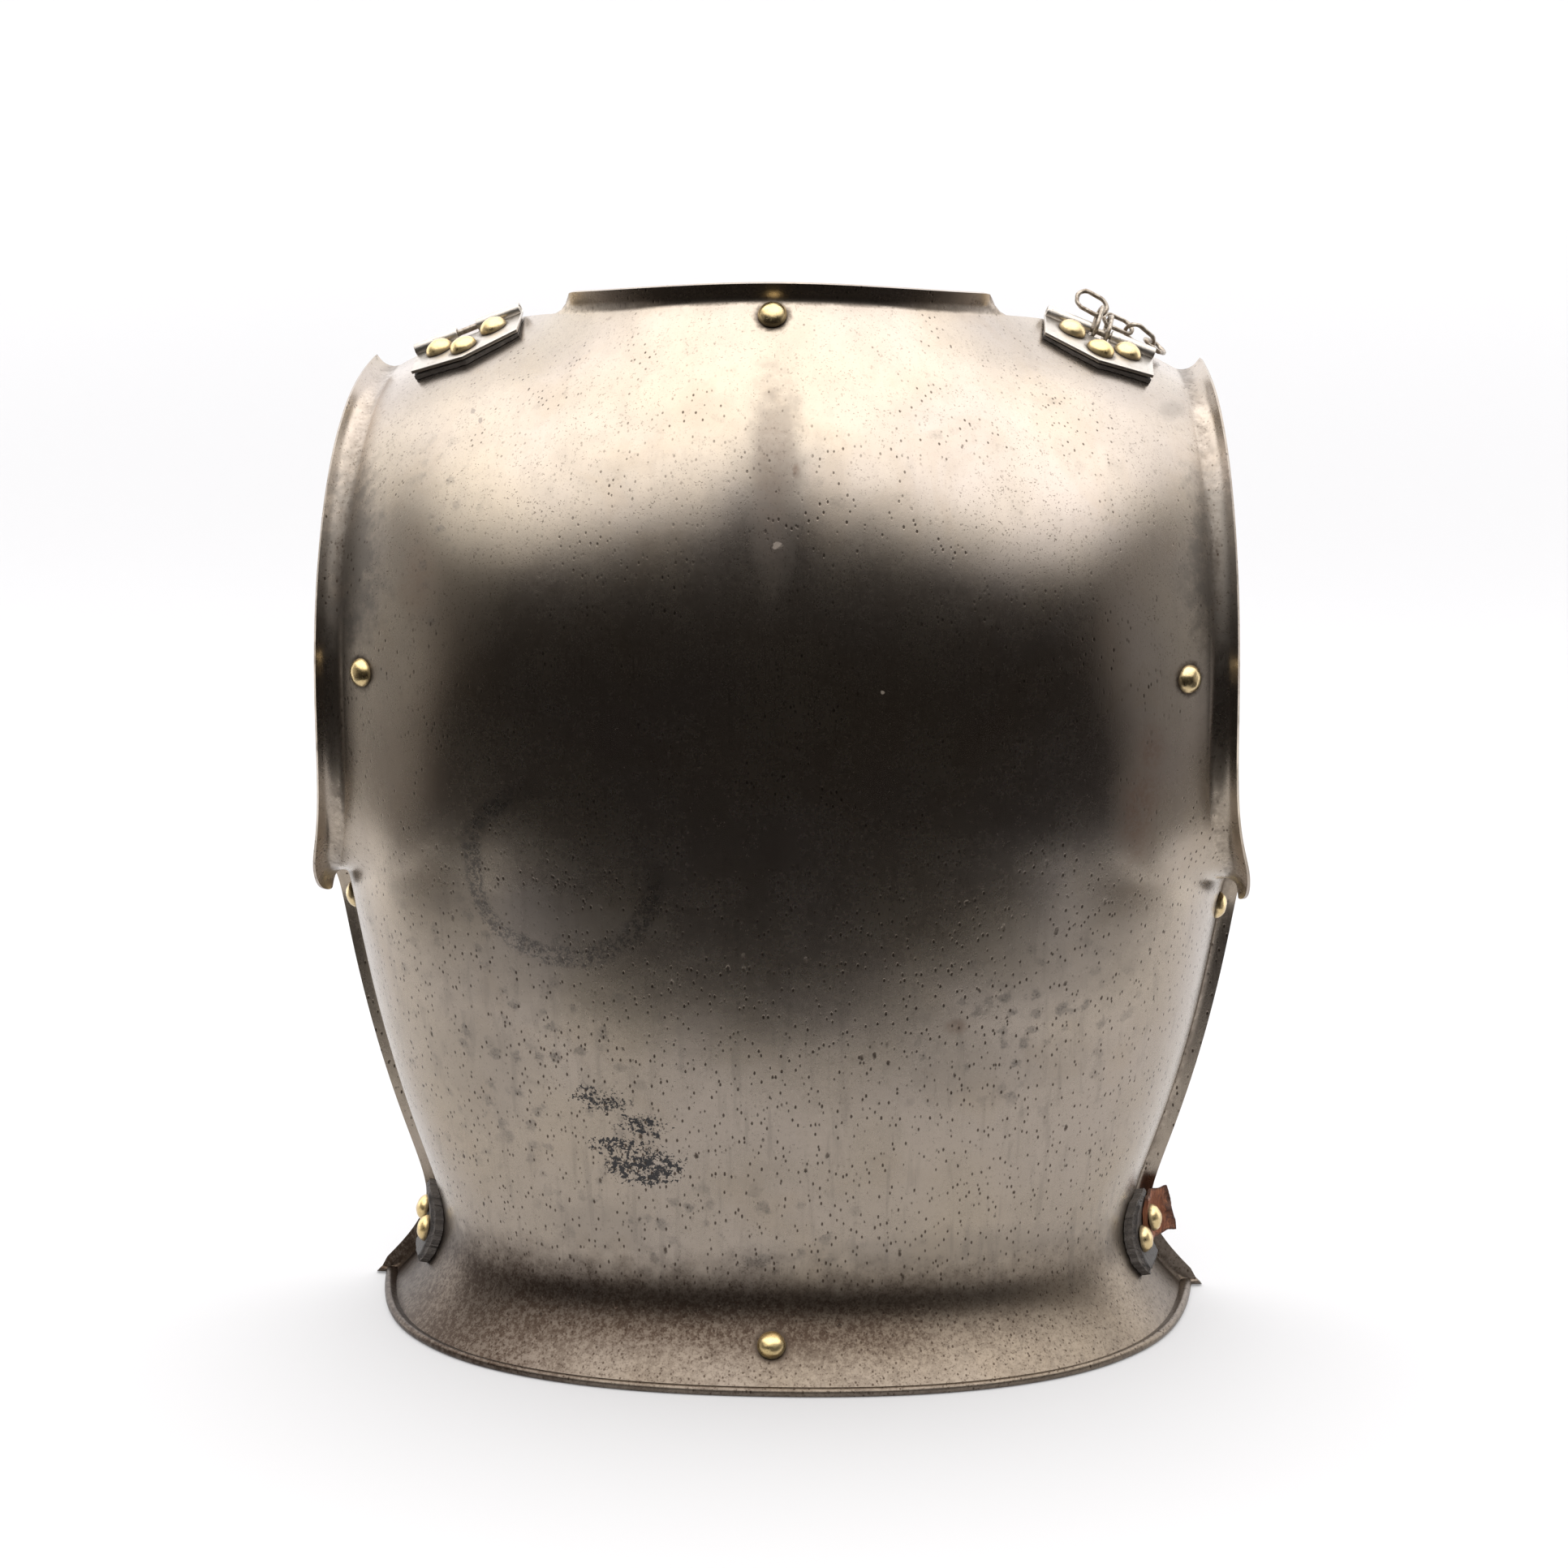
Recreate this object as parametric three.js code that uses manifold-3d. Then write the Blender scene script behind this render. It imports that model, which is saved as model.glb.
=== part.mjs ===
// Back plate of a horseman's cuirass, standing on its bottom rim.
// Millimetres, +Z up. The back faces -Y, the open side +Y, and the rim stands on z = 0.
import * as THREE from 'three';
import Module from 'manifold-3d';
import { mergeVertices } from 'three/addons/utils/BufferGeometryUtils.js';

const wasm = await Module();
wasm.setup();

// Plate sizes
const PLATE_HEIGHT = 435;        // rim to the foot of the collar at the nape
const HALF_WIDTH = 192;          // middle of the back to its side, at the shoulder blades
const BACK_DEPTH = 132;          // side edges to the furthest point of the back
const SHOULDER_REACH = 25;       // side edges forward to the ends of the shoulders
const EDGE_ANGLE = 94;           // side edges, in degrees round from the middle of the back
const WALL = 1.4;                // steel sheet
const WAIST_RISE = 44;           // rim to the narrowest place
const FLARE_OUT = 24;            // how far the rim stands out from the waist
const GROOVE_DEPTH = 4.5;        // hollow along the spine
const GROOVE_WIDTH = 17;
const BEAD_RADIUS = 2;           // rolled wire edge along the rim
const BEAD_SEAT = 0.92;          // bead's centre over its flat underside, as a share of its radius
const LIP_WIDTH = 9;             // turned edge at the sides
const LIP_RADIUS = 3.4;
const ARM_WIDTH = 12.5;          // turned edge round the arm openings
const ARM_RADIUS = 7;
const FLANGE_ANGLE = 80;         // how far both are turned out of the sheet, in degrees
const COLLAR_WIDTH = 9.5;        // turned edge round the neck
const COLLAR_RADIUS = 4;
const COLLAR_ANGLE = 62;
const PLAIN_EDGE = 1;            // strip left flat at the ends of the shoulders

// Fastening sizes
const CLEARANCE = 0.3;           // gap between pieces that rest on each other
const HEAD_RADIUS = 5.8;         // brass rivet
const HEAD_RISE = 4.4;
const SHANK_RADIUS = 1.9;
const CLENCH_RADIUS = 3.4;
const CLENCH_RISE = 1;
const CLENCH_PLAY = 1.1;         // inner face of the sheet to the clench

// Strap plate sizes
const TAB_HALF_WIDTH = 24;       // steel plate of the shoulder strap, across the strap
const TAB_BACK = 12.5;           // far rivets back to the corners
const TAB_POINT = 20;            // far rivets back to the blunt point
const TAB_FRONT = 9;             // far rivets forward to the hinge pin
const TAB_WALL = 1.5;
const TAB_RIVET_EDGE = 11.7;     // side edges to the far rivets
const TAB_RIVET_POINT = 10;      // blunt point to its rivet
const PAD_WALL = 1.1;            // leather under it, where it is thinnest
const PAD_MARGIN = 0.6;
const KNUCKLE_GAP = 9;           // gap in the hinge roll, for the chain
const ROLL_WALL = 1.1;           // hinge roll round the pin
const PIN_RADIUS = 1.3;

// Chain sizes
const LINK_LENGTH = 15;
const LINK_WIDTH = 9.8;
const LINK_WIRE = 1.8;
const LINK_PLAY = 0.45;          // gap where one link hangs in the next

// Waist strap sizes
const PATCH_WIDTH = 27;          // leather patch, along the waist
const PATCH_HEIGHT = 31;
const LEATHER = 5.4;             // two layers of harness leather
const PATCH_NARROWING = 0.12;    // how much its top is narrower than its middle
const PATCH_ROUNDING = 0.22;     // how far its corners are rounded off
const PATCH_RIVET_SPREAD = 12;
const STUB_HEIGHT = 21;          // torn strap end on the right patch
const STUB_REACH = 19;
const STUB_CURL = 9;
const STUB_LEATHER = 2;
const STUB_BEND = 1.6;           // how suddenly it curls
const STUB_FLAT = 0.62;          // share of the strap end that lies on the patch

// How finely the meshes are divided
const PLATE_ROWS = 29;
const PLATE_COLUMNS = 24;
const FLANGE_STEPS = 4;
const COLLAR_STEPS = 4;
const BEAD_STEPS = 3;
const ROUND_SIDES = 9;
const WIRE_SIDES = 5;
const LINK_STEPS = 14;
const PAD_STEPS = 7;
const PATCH_STEPS = 6;
const STUB_STEPS = 6;
const STUB_ROWS = 4;
const CAST_HEIGHT = 60;          // how far over the sheet its height is sounded from

// Cross sections of the back above the waist, as shares of its height, half width and depth
const SECTIONS = [
  { rise: 0.174, half: 0.840, depth: 0.765, square: 2.40 },
  { rise: 0.256, half: 0.896, depth: 0.803, square: 2.40 },
  { rise: 0.349, half: 0.943, depth: 0.856, square: 2.45 },
  { rise: 0.442, half: 0.974, depth: 0.909, square: 2.50 },
  { rise: 0.547, half: 0.995, depth: 0.962, square: 2.55 },
  { rise: 0.651, half: 1.000, depth: 0.992, square: 2.60 },
  { rise: 0.767, half: 1.000, depth: 1.000, square: 2.60 },
];
const WAIST = { half: 0.778, depth: 0.742, square: 2.35 };

// The flare, as shares of the waist's rise and of the flare's reach
const FLARE = [
  { rise: 0.00, out: 1.00 },
  { rise: 0.20, out: 0.64 },
  { rise: 0.43, out: 0.30 },
  { rise: 0.68, out: 0.07 },
  { rise: 1.00, out: 0.00 },
];

// Rows of the sheet above the waist: rise at the spine and at the edge, and the edge's angle
const ROWS = [
  { spine: 0.174, edge: 0.172, angle: 1.000 },
  { spine: 0.256, edge: 0.249, angle: 1.000 },
  { spine: 0.344, edge: 0.330, angle: 1.000 },
  { spine: 0.419, edge: 0.395, angle: 1.000 },
  { spine: 0.477, edge: 0.428, angle: 0.990 },
  { spine: 0.523, edge: 0.437, angle: 0.904 },
  { spine: 0.570, edge: 0.456, angle: 0.819 },
  { spine: 0.616, edge: 0.500, angle: 0.755 },
  { spine: 0.663, edge: 0.565, angle: 0.723 },
  { spine: 0.709, edge: 0.640, angle: 0.713 },
];

// Top edge from the spine outwards: distance back, reach forward, rise, bend and spread
const TOP = [
  { back: 0.560, reach: 0.00, rise: 1.000, bend: 0.55, spread: 0.98 },
  { back: 0.545, reach: 0.00, rise: 0.998, bend: 0.56, spread: 0.98 },
  { back: 0.470, reach: 0.00, rise: 0.992, bend: 0.60, spread: 0.98 },
  { back: 0.270, reach: 0.00, rise: 0.981, bend: 0.70, spread: 1.00 },
  { back: 0.000, reach: 0.65, rise: 0.966, bend: 0.95, spread: 1.00 },
  { back: 0.000, reach: 1.00, rise: 0.942, bend: 1.00, spread: 0.96 },
  { back: 0.000, reach: 0.96, rise: 0.917, bend: 1.00, spread: 0.93 },
];
const TURN = [15, 30, 45, 60, 75, 90];       // degrees of the turn over the shoulders
const GROOVE = { middle: 0.77, below: 0.35, above: 0.14 };
const ARM_START = { from: 0.46, to: 0.53 };  // where the side lip widens into the arm flange
const NECK_END = { from: 0.60, to: 0.66 };   // where the collar dies away towards the shoulders

// Rivets through the sheet alone: place across and up the sheet
const EDGE_RIVETS = [
  { name: 'neck', across: 0.000, up: 0.996 },
  { name: 'arm_left', across: -0.977, up: 0.735 },
  { name: 'arm_right', across: 0.977, up: 0.735 },
  { name: 'side_left', across: -0.976, up: 0.407 },
  { name: 'side_right', across: 0.976, up: 0.405 },
  { name: 'waist', across: 0.000, up: 0.046 },
];

// Rim of a rivet head, from its edge inwards, as shares of its radius and rise
const HEAD = [
  { out: 1.00, rise: 0.00 },
  { out: 0.90, rise: 0.45 },
  { out: 0.55, rise: 0.86 },
  { out: 0.00, rise: 1.00 },
];

// Rivets of a waist patch, as shares of their spread and of the patch's height
const PATCH_RIVETS = [
  { name: 'back', right: -0.5, ahead: -0.065 },
  { name: 'front', right: 0.5, ahead: 0.10 },
];

// The chain's links: what each hangs on, the way it points and the way its face looks.
// Ways are right along the pin, ahead and up, and a link on the pin has its place along it.
const LINKS = [
  { name: 'pin_a', on: 'pin', at: 0.30, way: [0.00, 0.95, 0.30], face: [1, 0, 0] },
  { name: 'pin_b', on: 'pin', at: -0.30, way: [0.00, 0.72, 0.70], face: [1, 0, 0] },
  { name: 'run_1', on: 'pin_a', way: [0.97, 0.16, -0.08], face: [0, -0.30, 0.95] },
  { name: 'run_2', on: 'run_1', way: [0.94, 0.10, -0.30], face: [0.15, 0.90, 0.30] },
  { name: 'run_3', on: 'run_2', way: [0.45, 0.85, -0.22], face: [0.30, 0.10, 0.90] },
  { name: 'loop', on: 'pin_b', way: [-0.98, 0.10, 0.10], face: [0, -0.70, 0.72] },
];
const TAB_PLACE = { across: 0.86, up: 0.985 };
const PATCH_PLACE = { across: 0.966, up: 0.120 };

const BRASS = new THREE.MeshStandardMaterial({ color: 0xb59a55, roughness: 0.25, metalness: 1 });
const STEEL = new THREE.MeshStandardMaterial({ color: 0x8a8073, roughness: 0.3, metalness: 1 });
const PALE_STEEL = new THREE.MeshStandardMaterial({ color: 0xb4aca2, roughness: 0.4, metalness: 1 });
const IRON = new THREE.MeshStandardMaterial({ color: 0x6b6258, roughness: 0.5, metalness: 1 });
const BLACK_LEATHER = new THREE.MeshStandardMaterial({ color: 0x2b2622, roughness: 0.8, metalness: 0 });
const RED_LEATHER = new THREE.MeshStandardMaterial({ color: 0x7a3a20, roughness: 0.8, metalness: 0 });

const cuirass = new THREE.Group();
const { degToRad, lerp, smoothstep, clamp } = THREE.MathUtils;

function add(name, geometry, material) {
  const mesh = new THREE.Mesh(geometry, material);
  mesh.name = name;
  cuirass.add(mesh);
}

// Solids

function solidOf(geometry) {
  const bare = geometry.clone();
  bare.deleteAttribute('normal');
  bare.deleteAttribute('uv');
  const merged = mergeVertices(bare, 1e-4);
  const vertProperties = new Float32Array(merged.attributes.position.array);
  const triVerts = new Uint32Array(merged.index.array);
  return new wasm.Manifold(new wasm.Mesh({ numProp: 3, vertProperties, triVerts }));
}

function geometryOf(solid) {
  const mesh = solid.getMesh();
  const geometry = new THREE.BufferGeometry();
  geometry.setAttribute('position', new THREE.BufferAttribute(new Float32Array(mesh.vertProperties), 3));
  geometry.setIndex(Array.from(mesh.triVerts));
  return geometry;
}

function meshOf(points, faces) {
  const geometry = new THREE.BufferGeometry();
  geometry.setFromPoints(points);
  geometry.setIndex(faces);
  return geometry;
}

// A closed sheet between two grids of points of the same size, the first on the outside
function sheetBetween(outer, inner) {
  const rows = outer.length;
  const columns = outer[0].length;
  const points = [...outer.flat(), ...inner.flat()];
  const half = rows * columns;
  const faces = [];
  const quad = (a, b, c, d) => faces.push(a, b, c, a, c, d);
  for (let i = 0; i < rows - 1; i++) {
    for (let j = 0; j < columns - 1; j++) {
      const a = i * columns + j;
      const b = a + 1;
      const c = b + columns;
      const d = a + columns;
      quad(a, b, c, d);
      quad(half + a, half + d, half + c, half + b);
    }
  }
  const rim = [];
  for (let j = 0; j < columns; j++) rim.push(j);
  for (let i = 1; i < rows; i++) rim.push(i * columns + columns - 1);
  for (let j = columns - 2; j >= 0; j--) rim.push((rows - 1) * columns + j);
  for (let i = rows - 2; i > 0; i--) rim.push(i * columns);
  rim.forEach((a, k) => {
    const b = rim[(k + 1) % rim.length];
    quad(b, a, half + a, half + b);
  });
  return meshOf(points, faces);
}

// The form of the back

function between(table, key, rise) {
  if (rise <= table[0].rise) return table[0][key];
  for (let k = 1; k < table.length; k++) {
    const [low, high] = [table[k - 1], table[k]];
    if (rise <= high.rise) return lerp(low[key], high[key], (rise - low.rise) / (high.rise - low.rise));
  }
  return table.at(-1)[key];
}

const BODY = [
  ...FLARE.map(({ rise, out }) => ({
    rise: rise * WAIST_RISE,
    half: WAIST.half * HALF_WIDTH + out * FLARE_OUT,
    depth: WAIST.depth * BACK_DEPTH + out * FLARE_OUT,
    square: WAIST.square,
  })),
  ...SECTIONS.map(({ rise, half, depth, square }) => ({
    rise: rise * PLATE_HEIGHT,
    half: half * HALF_WIDTH,
    depth: depth * BACK_DEPTH,
    square,
  })),
];

function bodyPoint(angle, rise) {
  const [half, depth, square] = ['half', 'depth', 'square'].map((key) => between(BODY, key, rise));
  const across = Math.sin(angle);
  const back = Math.cos(angle);
  const sum = Math.abs(across / half) ** square + Math.abs(back / depth) ** square;
  const radius = sum ** (-1 / square);
  return new THREE.Vector3(radius * across, -radius * back, rise);
}

// Control points of the sheet, in rows from the rim to the top edge
function controlNet() {
  const sides = TOP.length - 1;
  const shares = Array.from({ length: 2 * sides + 1 }, (_, k) => (k - sides) / sides);
  const rises = [
    ...FLARE.map(({ rise }) => ({ spine: rise * WAIST_RISE, edge: rise * WAIST_RISE, angle: 1 })),
    ...ROWS.map(({ spine, edge, angle }) => ({
      spine: spine * PLATE_HEIGHT,
      edge: edge * PLATE_HEIGHT,
      angle,
    })),
  ];
  const net = rises.map(({ spine, edge, angle }) => shares.map((share) => {
    const turn = degToRad(EDGE_ANGLE * angle) * share;
    return bodyPoint(turn, lerp(spine, edge, share * share));
  }));
  const base = net.at(-1);
  for (const degrees of TURN) {
    net.push(base.map((from, k) => {
      const top = TOP[Math.abs(k - sides)];
      const whole = degToRad(90) * top.bend;
      const part = degToRad(degrees) * top.bend;
      const up = Math.sin(part) / Math.sin(whole);
      const over = (1 - Math.cos(part)) / (1 - Math.cos(whole));
      const endY = top.reach * SHOULDER_REACH - top.back * BACK_DEPTH;
      return new THREE.Vector3(
        from.x * lerp(1, top.spread, over),
        lerp(from.y, endY, over),
        lerp(from.z, top.rise * PLATE_HEIGHT, up),
      );
    }));
  }
  return net;
}

const NET = controlNet();

// Weights of a cubic B-spline with clamped ends, at a share of its length
function splineWeights(count, share) {
  const spans = count - 3;
  const knot = (k) => clamp(k - 3, 0, spans) / spans;
  const at = Math.min(share, 1 - 1e-9);
  let weights = Array.from({ length: count + 3 }, (_, k) => (knot(k) <= at && at < knot(k + 1) ? 1 : 0));
  for (let degree = 1; degree <= 3; degree++) {
    weights = weights.slice(0, -1).map((weight, k) => {
      const rising = knot(k + degree) - knot(k);
      const falling = knot(k + degree + 1) - knot(k + 1);
      const left = rising > 0 ? weight * (at - knot(k)) / rising : 0;
      const right = falling > 0 ? weights[k + 1] * (knot(k + degree + 1) - at) / falling : 0;
      return left + right;
    });
  }
  return weights;
}

// A point of the outer skin: up runs 0 to 1 from the rim, across -1 to 1 between the side edges
function skinPoint(across, up) {
  const rowWeights = splineWeights(NET.length, up);
  const columnWeights = splineWeights(NET[0].length, (across + 1) / 2);
  const point = new THREE.Vector3();
  rowWeights.forEach((rowWeight, i) => {
    if (rowWeight === 0) return;
    columnWeights.forEach((weight, j) => point.addScaledVector(NET[i][j], rowWeight * weight));
  });
  const away = point.z / PLATE_HEIGHT - GROOVE.middle;
  const length = away < 0 ? GROOVE.below : GROOVE.above;
  const fade = Math.exp(-((away / length) ** 2));
  point.y += GROOVE_DEPTH * fade * Math.exp(-((point.x / GROOVE_WIDTH) ** 2));
  return point;
}

function along(points, k) {
  const before = points[Math.max(k - 1, 0)];
  const after = points[Math.min(k + 1, points.length - 1)];
  return after.clone().sub(before).normalize();
}

function gridNormals(grid) {
  const columns = grid[0].map((_, j) => grid.map((row) => row[j]));
  return grid.map((row, i) => row.map((_, j) => along(row, j).cross(along(columns[j], i)).normalize()));
}

// Points of a turned edge: an arc out of the sheet, then straight on to its width
function turnedPoint(base, outwards, normal, { radius, angle, width }, share) {
  const run = share * width;
  const bend = Math.min(run, radius * angle) / radius;
  const rest = Math.max(run - radius * angle, 0);
  const forward = radius * Math.sin(bend) + rest * Math.cos(bend);
  const lift = radius * (1 - Math.cos(bend)) + rest * Math.sin(bend);
  return base.clone().addScaledVector(outwards, forward).addScaledVector(normal, lift);
}

// The skin with its turned edges: rows up the sheet, columns across it
function skinGrid() {
  const ups = Array.from({ length: PLATE_ROWS + 1 }, (_, k) => k / PLATE_ROWS);
  const acrosses = Array.from({ length: PLATE_COLUMNS + 1 }, (_, k) => 2 * k / PLATE_COLUMNS - 1);
  const sheet = ups.map((up) => acrosses.map((across) => skinPoint(across, up)));
  const bareNormals = gridNormals(sheet);
  const flange = (side, column) => {
    const edge = sheet.map((row) => row[column]);
    return edge.map((base, i) => {
      const arm = smoothstep(ups[i], ARM_START.from, ARM_START.to);
      const normal = bareNormals[i][column];
      const outwards = along(edge, i).cross(normal).multiplyScalar(side).normalize();
      const form = {
        radius: lerp(LIP_RADIUS, ARM_RADIUS, arm),
        angle: degToRad(FLANGE_ANGLE),
        width: lerp(LIP_WIDTH, ARM_WIDTH, arm),
      };
      return Array.from({ length: FLANGE_STEPS }, (_, k) =>
        turnedPoint(base, outwards, normal, form, (k + 1) / FLANGE_STEPS));
    });
  };
  const left = flange(-1, 0);
  const right = flange(1, PLATE_COLUMNS);
  const grid = sheet.map((row, i) => [...left[i].reverse(), ...row, ...right[i]]);
  const normals = gridNormals(grid);
  const top = grid.at(-1);
  const below = grid.at(-2);
  const reaches = top.map((_, j) => clamp(2 * (j - FLANGE_STEPS) / PLATE_COLUMNS - 1, -1, 1));
  const collar = top.map((base, j) => {
    const neck = 1 - smoothstep(Math.abs(reaches[j]), NECK_END.from, NECK_END.to);
    const edgeway = along(top, j);
    const outwards = base.clone().sub(below[j]);
    outwards.addScaledVector(edgeway, -outwards.dot(edgeway)).normalize();
    const form = {
      radius: COLLAR_RADIUS,
      angle: degToRad(COLLAR_ANGLE) * neck,
      width: lerp(PLAIN_EDGE, COLLAR_WIDTH, neck),
    };
    return Array.from({ length: COLLAR_STEPS }, (_, k) =>
      turnedPoint(base, outwards, normals.at(-1)[j], form, (k + 1) / COLLAR_STEPS));
  });
  for (let k = 0; k < COLLAR_STEPS; k++) grid.push(collar.map((column) => column[k]));
  return grid;
}

// The sheet as one closed solid, each column a loop up the outside, down the inside and round the bead
function plateSolid() {
  const outer = skinGrid();
  const normals = gridNormals(outer);
  const inner = outer.map((row, i) => row.map((point, j) => point.clone().addScaledVector(normals[i][j], -WALL)));
  const rows = outer.length;
  const columns = outer[0].length;
  const half = Math.asin(WALL / 2 / BEAD_RADIUS);
  const seat = Math.sqrt(BEAD_RADIUS ** 2 - (WALL / 2) ** 2);
  const flat = Math.acos(BEAD_SEAT);
  const loops = [];
  for (let j = 0; j < columns; j++) {
    const normal = normals[0][j];
    const down = outer[0][j].clone().sub(outer[1][j]).normalize();
    const centre = outer[0][j].clone().add(inner[0][j]).multiplyScalar(0.5).addScaledVector(down, seat);
    const rise = BEAD_SEAT * BEAD_RADIUS - centre.z;
    for (const point of [outer[0][j], inner[0][j], centre]) point.z += rise;
    const lowest = Math.PI + Math.atan2(normal.z, -down.z);
    const steps = Array.from({ length: BEAD_STEPS }, (_, k) => (k + 1) / BEAD_STEPS);
    const angles = [
      ...steps.map((share) => lerp(2 * Math.PI - half, lowest + flat, share)),
      ...steps.map((share) => lerp(half, lowest - flat, share)).reverse(),
    ];
    const bead = angles.map((angle) => {
      const point = centre.clone()
        .addScaledVector(down, -BEAD_RADIUS * Math.cos(angle))
        .addScaledVector(normal, BEAD_RADIUS * Math.sin(angle));
      point.z = Math.abs(angle - lowest) < 1.01 * flat ? 0 : Math.max(point.z, 0);
      return point;
    });
    loops.push([...outer.map((row) => row[j]), ...inner.map((row) => row[j]).reverse(), ...bead]);
  }
  const count = loops[0].length;
  const faces = [];
  for (let j = 0; j < columns - 1; j++) {
    for (let i = 0; i < count; i++) {
      const next = (i + 1) % count;
      const [a, b, c, d] = [j * count + i, (j + 1) * count + i, (j + 1) * count + next, j * count + next];
      faces.push(a, b, c, a, c, d);
    }
  }
  const cap = (start, flip) => {
    const triangle = (a, b, c) => (flip ? faces.push(start + a, start + c, start + b)
      : faces.push(start + a, start + b, start + c));
    for (let i = 0; i < rows - 1; i++) {
      const back = 2 * rows - 1 - i;
      triangle(i, i + 1, back - 1);
      triangle(i, back - 1, back);
    }
    for (let k = 2 * rows - 1; k < count - 1; k++) triangle(0, k, k + 1);
  };
  cap(0, false);
  cap((columns - 1) * count, true);
  return solidOf(meshOf(loops.flat(), faces));
}

const plate = plateSolid();
const skin = new THREE.Mesh(geometryOf(plate), new THREE.MeshBasicMaterial({ side: THREE.DoubleSide }));
const caster = new THREE.Raycaster();

// Height of the sheet over a point of a frame's base plane, measured along the frame's normal
function heightAt(point, normal) {
  caster.set(point.clone().addScaledVector(normal, CAST_HEIGHT), normal.clone().negate());
  const hit = caster.intersectObject(skin)[0];
  return hit ? CAST_HEIGHT - hit.distance : -CAST_HEIGHT;
}

// A frame on the sheet: its origin, its outward normal, and the ways across and up the sheet
function frameAt(across, up) {
  const step = 0.004;
  const origin = skinPoint(across, up);
  const right = skinPoint(across + step, up).sub(skinPoint(across - step, up)).normalize();
  const ahead = skinPoint(across, up + step).sub(skinPoint(across, up - step));
  const normal = right.clone().cross(ahead).normalize();
  return { origin, normal, right, ahead: normal.clone().cross(right) };
}

// The same frame turned about its normal until its right way looks straight across the back
function squared({ origin, normal }) {
  const right = new THREE.Vector3(1, 0, 0);
  right.addScaledVector(normal, -right.dot(normal)).normalize();
  return { origin, normal, right, ahead: normal.clone().cross(right) };
}

function placeIn(frame, right, ahead, lift) {
  return frame.origin.clone()
    .addScaledVector(frame.right, right)
    .addScaledVector(frame.ahead, ahead)
    .addScaledVector(frame.normal, lift);
}

function matrixOf(frame, point) {
  const matrix = new THREE.Matrix4().makeBasis(frame.right, frame.ahead, frame.normal);
  return matrix.setPosition(point);
}

// Rivets

const holes = [];

function cylinderAlong(frame, point, radius, low, high) {
  const geometry = new THREE.CylinderGeometry(radius, radius, high - low, ROUND_SIDES);
  geometry.rotateX(Math.PI / 2);
  geometry.translate(0, 0, (low + high) / 2);
  geometry.applyMatrix4(matrixOf(frame, point));
  return geometry;
}

// A domed rivet seated over leather of that thickness, or on a flat top at that height.
// Its hole is kept for what it passes through.
function rivet(name, frame, point, { over = 0, top = -Infinity }) {
  const ring = (radius) => Array.from({ length: 2 * ROUND_SIDES }, (_, k) => {
    const angle = k * Math.PI / ROUND_SIDES;
    const rim = point.clone()
      .addScaledVector(frame.right, radius * Math.cos(angle))
      .addScaledVector(frame.ahead, radius * Math.sin(angle));
    return heightAt(rim, frame.normal);
  });
  const lift = Math.max(top, ...ring(HEAD_RADIUS).map((height) => height + over)) + CLEARANCE;
  const back = Math.min(...ring(CLENCH_RADIUS)) - WALL - CLENCH_PLAY;
  const profile = [
    new THREE.Vector2(0, back - CLENCH_RISE),
    new THREE.Vector2(CLENCH_RADIUS, back - CLENCH_RISE),
    new THREE.Vector2(CLENCH_RADIUS, back),
    new THREE.Vector2(SHANK_RADIUS, back),
    new THREE.Vector2(SHANK_RADIUS, lift),
    ...HEAD.map(({ out, rise }) => new THREE.Vector2(out * HEAD_RADIUS, lift + rise * HEAD_RISE)),
  ];
  const geometry = new THREE.LatheGeometry(profile, ROUND_SIDES);
  geometry.rotateX(Math.PI / 2);
  geometry.applyMatrix4(matrixOf(frame, point));
  add(`rivet_${name}`, geometry, BRASS);
  const hole = cylinderAlong(frame, point, SHANK_RADIUS + CLEARANCE, back - 2 * WALL, lift + HEAD_RISE);
  holes.push(solidOf(hole));
}

for (const { name, across, up } of EDGE_RIVETS) {
  const frame = frameAt(across, up);
  rivet(name, frame, frame.origin, {});
}

// Leather laid on the sheet: a grid of points on its lower face and one on its upper face
function layer(frame, outline, steps, lower, upper) {
  const bottom = [];
  const top = [];
  for (let i = 0; i <= steps; i++) {
    const lowRow = [];
    const topRow = [];
    for (let j = 0; j <= steps; j++) {
      const [right, ahead] = outline(2 * j / steps - 1, 2 * i / steps - 1);
      const base = placeIn(frame, right, ahead, 0);
      const height = heightAt(base, frame.normal);
      lowRow.push(base.clone().addScaledVector(frame.normal, lower(height)));
      topRow.push(base.clone().addScaledVector(frame.normal, upper(height, right, ahead)));
    }
    bottom.push(lowRow);
    top.push(topRow);
  }
  return sheetBetween(top, bottom);
}

function pierced(geometry) {
  let solid = solidOf(geometry);
  for (const hole of holes) solid = solid.subtract(hole);
  return geometryOf(solid);
}

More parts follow.
